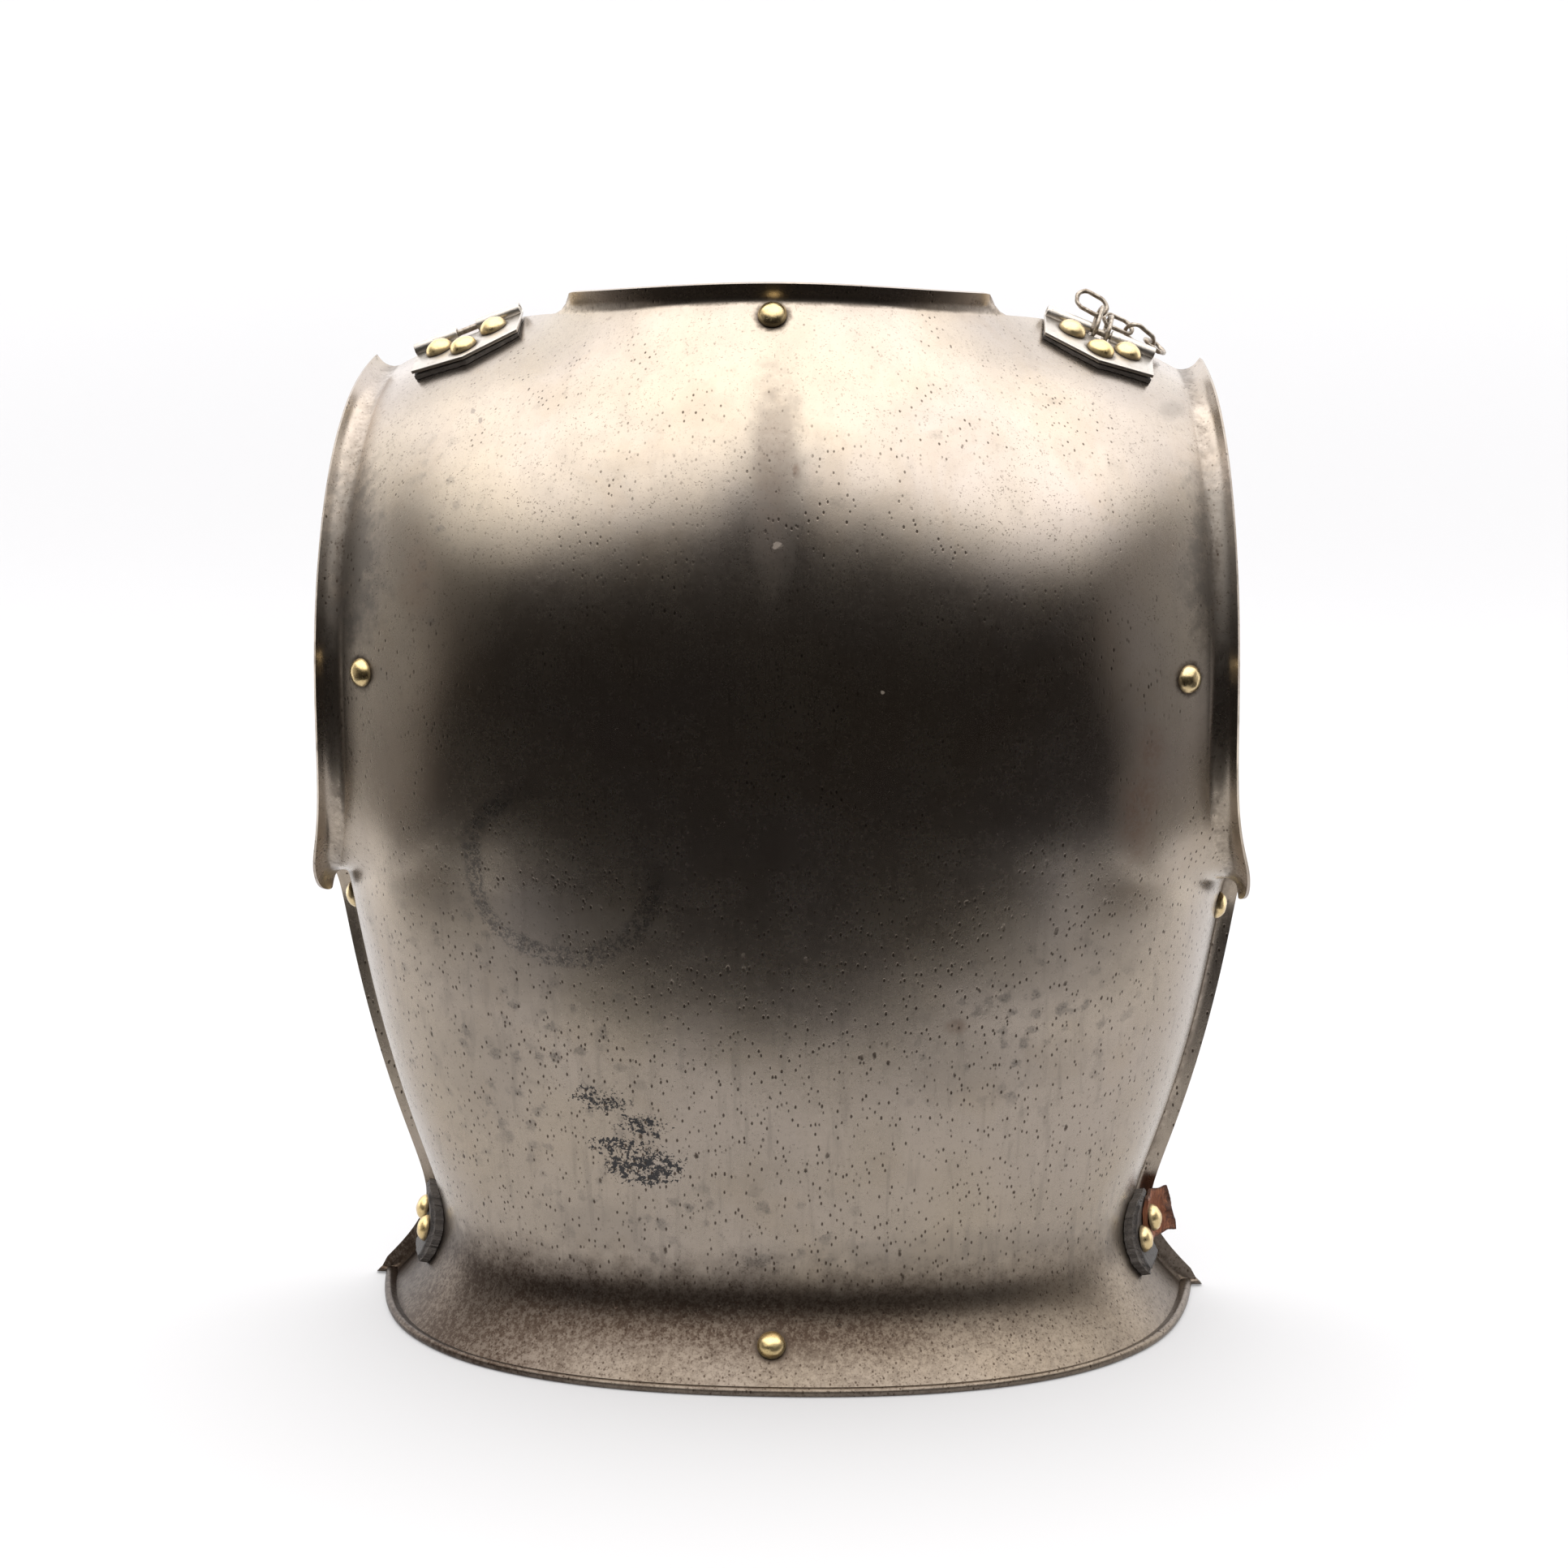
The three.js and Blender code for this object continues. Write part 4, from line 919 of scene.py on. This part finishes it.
def strap_plate(side, word):
    seat = Seat(side * TAB_PLACE[0], TAB_PLACE[1], square=True)
    low = seat.reach(f"strap_plate_{word}")[2][0]
    slot_back = PIN_RADIUS + LINK_WIRE + 3 * CLEARANCE
    outline = [(-TAB_HALF_WIDTH, TAB_FRONT), (-TAB_HALF_WIDTH, -TAB_BACK), (0, -TAB_POINT),
               (TAB_HALF_WIDTH, -TAB_BACK), (TAB_HALF_WIDTH, TAB_FRONT), (KNUCKLE_GAP / 2, TAB_FRONT),
               (KNUCKLE_GAP / 2, TAB_FRONT - slot_back), (-KNUCKLE_GAP / 2, TAB_FRONT - slot_back),
               (-KNUCKLE_GAP / 2, TAB_FRONT)]
    count = len(outline)
    points = [seat.at(*corner, low) for corner in outline]
    points += [seat.at(*corner, low + TAB_WALL) for corner in outline]
    faces = [list(range(count)), [count + i for i in range(count)][::-1]]
    faces += [[i, count + i, count + (i + 1) % count, (i + 1) % count] for i in range(count)]
    plate = solid_object(f"strap_plate_sheet_{word}", points, faces)
    for start, end in ((-TAB_HALF_WIDTH, -KNUCKLE_GAP / 2), (KNUCKLE_GAP / 2, TAB_HALF_WIDTH)):
        ends = [lambda section, at=at: [seat.at(at, y, z) for y, z in section]
                for at in np.linspace(start, end, 3)]
        joined(plate, solid_object("roll", *swept(roll_section(low), ends)))
    soften(plate)
    return seat, plate


def joined(whole, other):
    """Another mesh is taken into the first one."""
    with bpy.context.temp_override(active_object=whole, selected_editable_objects=[whole, other]):
        bpy.ops.object.join()


def soften(piece):
    """Outward faces and rounded edges, applied to the mesh."""
    form = bmesh.new()
    form.from_mesh(piece.data)
    bmesh.ops.recalc_face_normals(form, faces=form.faces)
    sharp = [edge for edge in form.edges
             if edge.is_manifold and edge.calc_face_angle(0) > math.radians(BEVEL_FROM)]
    bmesh.ops.bevel(form, geom=sharp, offset=EDGE_BEVEL * MM, segments=3, affect="EDGES", profile=0.5,
                    clamp_overlap=True)
    form.to_mesh(piece.data)
    form.free()
    piece.data.shade_smooth()
    piece.data.set_sharp_from_angle(angle=math.radians(BEVEL_SHARP))


strap_steel = Finish("scratched_pale_steel", Metallic=1.0)
pale_mottle = strap_steel.cloud(6, 5, 0.62)
pale_fine = strap_steel.cloud(0.8, 4, 0.62)
pale_lines = strap_steel.cloud(1, 3, 0.5, strap_steel.stretched(9, 0.45, 0.6))
pale_cross = strap_steel.cloud(1, 3, 0.5, strap_steel.stretched(0.5, 8, 8))
smudge = (pale_mottle * 0.8 + pale_fine * 0.25).span(0.50, 0.72)
speck = pale_fine.span(0.64, 0.70)
line = pale_lines.span(0.58, 0.66).most(pale_cross.span(0.62, 0.68))
tab_rivets = [place for name, place in rivet_places.items() if "tab" in name]
strap_dirt = dirt_round(strap_steel, tab_rivets, pale_fine - 0.5, (5.6, 8.2))
pale = strap_steel.painted(strap_steel.mix(smudge * 0.5, PALE_STEEL, SMUDGED_STEEL), [
    (speck * 0.6, PALE_SPECK),
    (line * 0.3, PALE_SCRATCH),
    (strap_dirt * 0.8, STRAP_DIRT),
])
strap_steel.feed(Base_Color=pale, Roughness=(0.36 + smudge * 0.12 - line * 0.06 + strap_dirt * 0.25
                                             + speck * 0.2 + (pale_fine - 0.5) * 0.12).most(0.15))
strap_steel.bump((pale_mottle - 0.5) * 0.07 + (pale_fine - 0.5) * 0.03 - speck * 0.05 - line * 0.012)

iron = Finish("brown_iron", Metallic=0.85)
iron_mottle = iron.cloud(2.2, 5, 0.65)
iron_fine = iron.cloud(0.45, 4, 0.6)
iron_colour = iron.mix(iron_mottle.span(0.35, 0.65), LIGHT_IRON, BROWN_IRON)
iron_colour = iron.mix(iron_fine.span(0.58, 0.70) * 0.6, iron_colour, IRON_RUST)
iron.feed(Base_Color=iron_colour, Roughness=0.40 + (iron_mottle - 0.5) * 0.3 + (iron_fine - 0.5) * 0.2)
iron.bump((iron_mottle - 0.5) * 0.10 + (iron_fine - 0.5) * 0.05)

seats = {}
for side, word in ((-1, "left"), (1, "right")):
    seats[word], strap_end = strap_plate(side, word)
    strap_steel.dress(strap_end)
    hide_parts(f"strap_plate_{word}")
    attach(strap_end, "root")

# Hinge pins
# Iron wire through each hinge roll, cut off a little proud of the roll and lightly domed by the
# hammer at its ends.
PIN_SIDES = 20
PIN_ENDS = [(0, 0.55), (0.3, 0.9), (0.8, 1.0)]  # in from an end, and share of the radius there
for word, seat in seats.items():
    (left, right), aheads, rises = seat.reach(f"hinge_pin_{word}")
    ahead, rise = sum(aheads) / 2, sum(rises) / 2
    runs = [(left + run, share) for run, share in PIN_ENDS]
    runs += [(right - run, share) for run, share in PIN_ENDS[::-1]]
    ring = [(math.cos(2 * math.pi * k / PIN_SIDES), math.sin(2 * math.pi * k / PIN_SIDES))
            for k in range(PIN_SIDES)]
    stations = [lambda section, at=at, share=share: [
        seat.at(at, ahead + PIN_RADIUS * share * u, rise + PIN_RADIUS * share * v) for u, v in section]
        for at, share in runs]
    pin = solid_object(f"hinge_wire_{word}", *swept(ring, stations))
    iron.dress(pin)
    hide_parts(f"hinge_pin_{word}")
    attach(pin, "root")

# Leather pads and waist patches
# Thick harness leather between steel and steel on the shoulders, and two layers thick where the
# waist strap was riveted on. It is dry, black with age, and worn pale along its ragged edges.
PAD_MARGIN = -0.3
PAD_LIFT = 0.2
PAD_GAP = 0.1
PAD_RAG = 0.5
PAD_EDGE = 0.9  # from here to the edge the outline is torn
PATCH_LIFT = 0.25
PATCH_RAG = 1.3
PATCH_EDGE = 0.8
PATCH_PLACE = (0.966, 0.120)
PATCH_WIDTH = 27
PATCH_HEIGHT = 31
PATCH_NARROWING = 0.12
PATCH_ROUNDING = 0.22
LEATHER = 5.4
LEATHER_STEPS = 56
TEAR_SIZE = 3.1
FRAY_SIZE = 0.9
GRAIN_SIZE = 1.4
GRAIN_DEPTH = 0.10
CROWN_EDGE = 0.86  # from here to the edge the leather gets thinner
EDGE_THINNING = 0.35
BLACK_HIDE = (0.016, 0.012, 0.010)
BROWN_HIDE = (0.045, 0.034, 0.028)
HIDE_SPECK = (0.09, 0.07, 0.06)
HIDE_CRACK = (0.012, 0.009, 0.008)
HIDE_FRAY = (0.17, 0.15, 0.135)


def sheet_object(name, top, bottom, edges, rows, columns):
    """A closed sheet from a grid of points on either side, with each point's nearness to the edge."""
    ids = np.arange((rows + 1) * (columns + 1)).reshape(rows + 1, columns + 1)
    quads = np.stack([ids[:-1, :-1], ids[:-1, 1:], ids[1:, 1:], ids[1:, :-1]], -1).reshape(-1, 4)
    faces = quads.tolist() + (quads[:, ::-1] + ids.size).tolist()
    rim = np.concatenate([ids[0, :], ids[1:, -1], ids[-1, -2::-1], ids[-2:0:-1, 0]]).tolist()
    faces += [[after, before, before + ids.size, after + ids.size]
              for before, after in zip(rim, rim[1:] + rim[:1])]
    return solid_object(name, top + bottom, faces, edge=edges + edges)


def leather(name, seat, outline, low, high, rag, torn_from):
    """A ragged sheet of leather laid on the steel, thinner towards its edge."""
    top, bottom, edges = [], [], []
    for i, j in np.ndindex(LEATHER_STEPS + 1, LEATHER_STEPS + 1):
        u, v = 2 * j / LEATHER_STEPS - 1, 2 * i / LEATHER_STEPS - 1
        right, ahead = outline(u, v)
        spot = Vector((right, ahead, len(name)))
        tear = noise.noise(spot / TEAR_SIZE) * rag + noise.noise(spot / FRAY_SIZE) * rag * 0.45
        edge = max(abs(u), abs(v))
        pull = smoothstep(edge, torn_from, 1) * tear
        right += pull * np.sign(u) * (abs(u) >= abs(v))
        ahead += pull * np.sign(v) * (abs(v) > abs(u))
        height = seat.height(right, ahead)
        crown = (1 - smoothstep(edge, CROWN_EDGE, 1) * EDGE_THINNING)
        grain_lift = GRAIN_DEPTH * noise.noise(spot / GRAIN_SIZE)
        bottom.append(seat.at(right, ahead, low(height)))
        thick = (high(height) - low(height)) * crown
        top.append(seat.at(right, ahead, low(height) + thick + grain_lift))
        edges.append(edge)
    return sheet_object(name, top, bottom, edges, LEATHER_STEPS, LEATHER_STEPS)


hide = Finish("dry_black_leather")
hide_edge = hide.share("edge")
hide_mottle = hide.cloud(3.5, 6, 0.65)
hide_fine = hide.cloud(0.6, 5, 0.65)
hide_cracks = 1 - hide.cells(1.9, feature="DISTANCE_TO_EDGE").span(0.02, 0.10)
hide_fray = (hide_edge + (hide_fine - 0.5) * 0.22 + (hide_mottle - 0.5) * 0.12).span(0.90, 1.0)
hide_colour = hide.painted(hide.mix(hide_mottle.span(0.35, 0.7), BLACK_HIDE, BROWN_HIDE), [
    (hide_fine.span(0.58, 0.70) * 0.5, HIDE_SPECK),
    (hide_cracks * 0.6, HIDE_CRACK),
    (hide_fray * 0.45, HIDE_FRAY),
])
hide.feed(Base_Color=hide_colour, Roughness=0.50 + (hide_mottle - 0.5) * 0.3 + hide_fray * 0.2)
hide.bump((hide_mottle - 0.5) * 0.3 + (hide_fine - 0.5) * 0.14 - hide_cracks * 0.10)

for word, seat in seats.items():
    low_tab = seat.reach(f"strap_plate_{word}")[2][0]
    slot_back = PIN_RADIUS + LINK_WIRE + 3 * CLEARANCE

    def pad_outline(u, v):
        right = u * (TAB_HALF_WIDTH + PAD_MARGIN)
        back = TAB_POINT + (TAB_BACK - TAB_POINT) * min(abs(right) / TAB_HALF_WIDTH, 1) + PAD_MARGIN
        return right, -back + (TAB_FRONT - slot_back + back) * (v + 1) / 2

    pad = leather(f"strap_leather_{word}", seat, pad_outline, lambda height: height + PAD_LIFT,
                  lambda height: low_tab - PAD_GAP, PAD_RAG, PAD_EDGE)
    hide.dress(pad)
    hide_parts(f"strap_pad_{word}")
    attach(pad, "root")

patch_seats = {}
for side, word in ((-1, "left"), (1, "right")):
    seat = patch_seats[word] = Seat(side * PATCH_PLACE[0], PATCH_PLACE[1])

    def patch_outline(u, v):
        width = (1 - PATCH_NARROWING * v) * (1 - PATCH_ROUNDING * v ** 4) * PATCH_WIDTH
        return u * width / 2, v * PATCH_HEIGHT / 2

    patch = leather(f"waist_leather_{word}", seat, patch_outline, lambda height: height + PATCH_LIFT,
                    lambda height: height + PATCH_LIFT + LEATHER, PATCH_RAG, PATCH_EDGE)
    hide.dress(patch)
    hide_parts(f"waist_patch_{word}")
    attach(patch, "root")

# Torn strap end
# What is left of the waist strap: red-brown leather under the front rivet of the right patch,
# torn off and curling away from the steel, with its fibres showing.
STUB_HEIGHT = 21
STUB_REACH = 19
STUB_CURL = 9
STUB_LEATHER = 2
STUB_FLAT = 0.62
STUB_BEND = 1.6
PATCH_RIVET_SPREAD = 12
STUB_RISE = 3.1
STUB_ROWS = 44
STUB_COLUMNS = 40
RED_HIDE = (0.30, 0.105, 0.045)
DARK_RED_HIDE = (0.17, 0.055, 0.026)
LIGHT_RED_HIDE = (0.40, 0.17, 0.085)
RED_FRAY = (0.05, 0.028, 0.02)

red_hide = Finish("torn_red_leather")
red_edge = red_hide.share("edge")
red_fibre = red_hide.cloud(1, 5, 0.65, red_hide.stretched(1.1, 1.1, 9))
red_mottle = red_hide.cloud(4, 5, 0.6)
red_fine = red_hide.cloud(0.5, 4, 0.6)
red_fray = (red_edge + (red_fine - 0.5) * 0.3 + (red_fibre - 0.5) * 0.3).span(0.84, 1.0)
red_colour = red_hide.painted(red_hide.mix(red_fibre.span(0.35, 0.65), RED_HIDE, DARK_RED_HIDE), [
    (red_mottle.span(0.5, 0.75) * 0.6, LIGHT_RED_HIDE),
    (red_fray * 0.8, RED_FRAY),
])
red_hide.feed(Base_Color=red_colour, Roughness=0.66 + (red_fibre - 0.5) * 0.25)
red_hide.bump((red_fibre - 0.5) * 0.5 + (red_fine - 0.5) * 0.12)


def strap_stub(seat):
    start = HEAD_RADIUS - PATCH_RIVET_SPREAD / 2 + CLEARANCE
    rest_at_start = seat.height(start, 0) + LEATHER + 2 * CLEARANCE
    top, bottom, edges = [], [], []
    for i, j in np.ndindex(STUB_ROWS + 1, STUB_COLUMNS + 1):
        u, v = j / STUB_COLUMNS, i / STUB_ROWS
        edge = max(u, abs(2 * v - 1))
        spot = Vector((u * 9, v * 11, 3))
        tear = smoothstep(u, 0.7, 1) * (noise.noise(spot / 1.9) * 1.8 + noise.noise(spot / 0.6) * 0.8)
        sway = noise.noise(Vector((u * 5, np.sign(v - 0.5) * 7, 1))) * 1.4
        ahead = STUB_RISE + (v - 0.5) * STUB_HEIGHT + smoothstep(abs(2 * v - 1), 0.7, 1) * sway
        right = start + u * STUB_REACH + tear - smoothstep(v, 0.55, 1) * u * 2.2
        rest = seat.height(min(right, PATCH_RIVET_SPREAD), ahead) + LEATHER + 2 * CLEARANCE
        curl = max((u - STUB_FLAT) / (1 - STUB_FLAT), 0) ** STUB_BEND
        lift = rest + (rest_at_start - rest) * min(curl, 1) + curl * STUB_CURL
        lift += 0.35 * noise.noise(spot / 2.5)
        thick = STUB_LEATHER * (1 - 0.4 * smoothstep(edge, 0.85, 1))
        bottom.append(seat.at(right, ahead, lift))
        top.append(seat.at(right, ahead, lift + thick + 0.12 * noise.noise(spot / 0.5)))
        edges.append(edge)
    return sheet_object("torn_strap", top, bottom, edges, STUB_ROWS, STUB_COLUMNS)


stub = strap_stub(patch_seats["right"])
red_hide.dress(stub)
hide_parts("strap_stub")
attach(stub, "root")

# Chain fragment
# Oval links of iron wire, all that is left of the chain that covered the right shoulder strap.
# Two hang on the hinge pin, and the other four run on from them over the strap plate.
LINK_LENGTH = 15
LINK_WIDTH = 9.8
LINK_WOBBLE = (300.0, 0.9)


def chain_tree():
    nodes, given = piece_tree("chain", ["Length", "Width", "Wire", "Seed", "Material"])
    place = nodes.make("GeometryNodeInputPosition")
    radius = (given["Width"] - given["Wire"]) * 0.5
    ring = nodes.make("GeometryNodeCurvePrimitiveCircle", {"Resolution": 48, "Radius": radius})
    side = nodes.make("ShaderNodeMath", {0: nodes.parts(place)[0]}, operation="SIGN")
    shift = nodes.make("ShaderNodeCombineXYZ", {0: side * (given["Length"] - given["Width"]) * 0.5})
    oval = nodes.make("GeometryNodeSetPosition", {"Geometry": ring, "Offset": shift})
    wire = nodes.make("GeometryNodeCurvePrimitiveCircle", {"Resolution": 12, "Radius": given["Wire"] * 0.5})
    link = nodes.make("GeometryNodeCurveToMesh", {"Curve": oval, "Profile Curve": wire})
    points = nodes.make("GeometryNodeMeshToPoints", {"Mesh": given["Geometry"]})
    links = nodes.make("GeometryNodeInstanceOnPoints", {
        "Points": points, "Instance": link, "Rotation": named_vector(nodes, "turn")})
    return finish_tree(nodes, given, links, *LINK_WOBBLE)


def link_axes(node):
    """Middle of a link of the frame, the way it is long and the way its face looks."""
    centre, _, _, ways = spread_of(node)
    return centre, ways[:, 2], ways[:, 0]


link_names = sorted(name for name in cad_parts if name.startswith("chain_"))
links = [link_axes(name) for name in link_names]
chain = grown("shoulder_chain", chain_tree(), {
    "Length": LINK_LENGTH * MM, "Width": LINK_WIDTH * MM, "Wire": LINK_WIRE * MM, "Seed": 3,
    "Material": iron.material,
}, [centre for centre, long, face in links], turn=[euler_to(face, long) for centre, long, face in links])
iron.dress(chain)
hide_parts(*link_names)
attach(chain, "root")

# White table and studio light
# A sheet of white paper that ends just in front of the plate and sweeps up behind it. It glows a
# little, more so higher up and past both sides. The camera's side is dark, which the steel mirrors.
PAPER_FRONT = -0.25
PAPER_BACK = 1.5
PAPER_HALF = 0.38
PAPER_SPREAD = 0.9
PAPER_SIDE = (0.47, 0.80)  # where the paper gets brighter, out of the picture on both sides
PAPER_SIDE_END = (1000, 1400)  # where those brighter sides end, back from the plate
SWEEP_RADIUS = 0.8
SWEEP_STEPS = 24
WALL_TOP = 3.4
PAPER_LIGHT = 0.23
TABLE_GLOW = (0.86, 0.86, 0.87)
WALL_GLOW = (2.4, 2.4, 2.44)
TOP_GLOW = (7.0, 7.0, 7.1)
SIDE_GLOW = (3.6, 3.6, 3.65)
PAPER_TONES = (0.40, 0.40, 0.41), (0.42, 0.42, 0.43)
OVERHEAD_LIGHT = 3.1
BACK_LIGHT = 2.3
WING_LIGHT = 0.42
DARK_ROOM = 0.018
SEEN_LIGHT = 1.1  # what the camera sees past the paper
DIM_TINT = (1.0, 0.84, 0.74)
BRIGHT_TINT = (1.0, 0.985, 0.965)


def paper_sweep():
    profile = [(PAPER_FRONT, 0.0), (0.4, 0.0), (PAPER_BACK, 0.0)]
    profile += [(PAPER_BACK + SWEEP_RADIUS * math.sin(a), SWEEP_RADIUS * (1 - math.cos(a)))
                for a in np.linspace(0, math.pi / 2, SWEEP_STEPS)[1:]]
    profile.append((PAPER_BACK + SWEEP_RADIUS, WALL_TOP))
    points = [(side * (PAPER_HALF + PAPER_SPREAD * max(y, 0)) / MM, y / MM, z / MM)
              for y, z in profile for side in (-1, 1)]
    faces = [[2 * k, 2 * k + 1, 2 * k + 3, 2 * k + 2] for k in range(len(profile) - 1)]
    return solid_object("white_paper", points, faces)


paper = Finish("white_paper", Roughness=0.8, Specular_IOR_Level=0.1, Emission_Strength=PAPER_LIGHT)
past_side = (paper.x * paper.x).span(*((side / MM) ** 2 for side in PAPER_SIDE))
past_side = past_side * (1 - paper.y.span(*PAPER_SIDE_END))
paper_glow = paper.painted(paper.mix(paper.z.span(-60, 470), TABLE_GLOW, WALL_GLOW), [
    (paper.z.span(520, 900), TOP_GLOW),
    (past_side, SIDE_GLOW),
])
paper.feed(Emission_Color=paper_glow, Base_Color=paper.mix(paper.cloud(900, 2), *PAPER_TONES))
sweep = paper_sweep()
paper.dress(sweep)

world = bpy.data.worlds.new("studio")
world.use_nodes = True
bpy.context.scene.world = world
world.node_tree.nodes.clear()
sky = Nodes(world.node_tree)
east, north, up = sky.parts(sky.make("ShaderNodeTexCoord"))
overhead = up.span(0.34, 0.79) * OVERHEAD_LIGHT
behind = north.span(0.08, 0.44) * BACK_LIGHT
wings = (east * east).span(0.66, 1.0) * WING_LIGHT
glow = overhead.most(behind).most(wings).most(DARK_ROOM)
camera_sees = sky.make("ShaderNodeLightPath")
glow = glow.most(camera_sees * SEEN_LIGHT)
tint = sky.mix(glow.span(0.02, 0.5), DIM_TINT, BRIGHT_TINT)
sky.end("ShaderNodeOutputWorld", sky.make("ShaderNodeBackground", {"Color": tint, "Strength": glow}))

# Camera
# Close to level with the shoulder blades, looking slightly down, with a long lens.
YAW = math.radians(3.04)
ELEVATION = math.radians(13)
ROLL = math.radians(0.15)
DISTANCE = 1.7
SENSOR = 36
FOCAL_LENGTH = 92.7
AIM = Vector((0, FORWARD * MM, 0.2257))
lens = bpy.data.cameras.new("camera")
camera = bpy.data.objects.new("camera", lens)
bpy.context.scene.collection.objects.link(camera)
bpy.context.scene.camera = camera
backwards = Vector((math.sin(YAW) * math.cos(ELEVATION), -math.cos(YAW) * math.cos(ELEVATION),
                    math.sin(ELEVATION)))
camera.location = AIM + backwards * DISTANCE
camera.rotation_mode = "QUATERNION"
camera.rotation_quaternion = (backwards.to_track_quat("Z", "Y")
                              @ Matrix.Rotation(-ROLL, 4, "Z").to_quaternion())
lens.sensor_width = SENSOR
lens.lens = FOCAL_LENGTH
bpy.context.scene.view_settings.view_transform = "Standard"
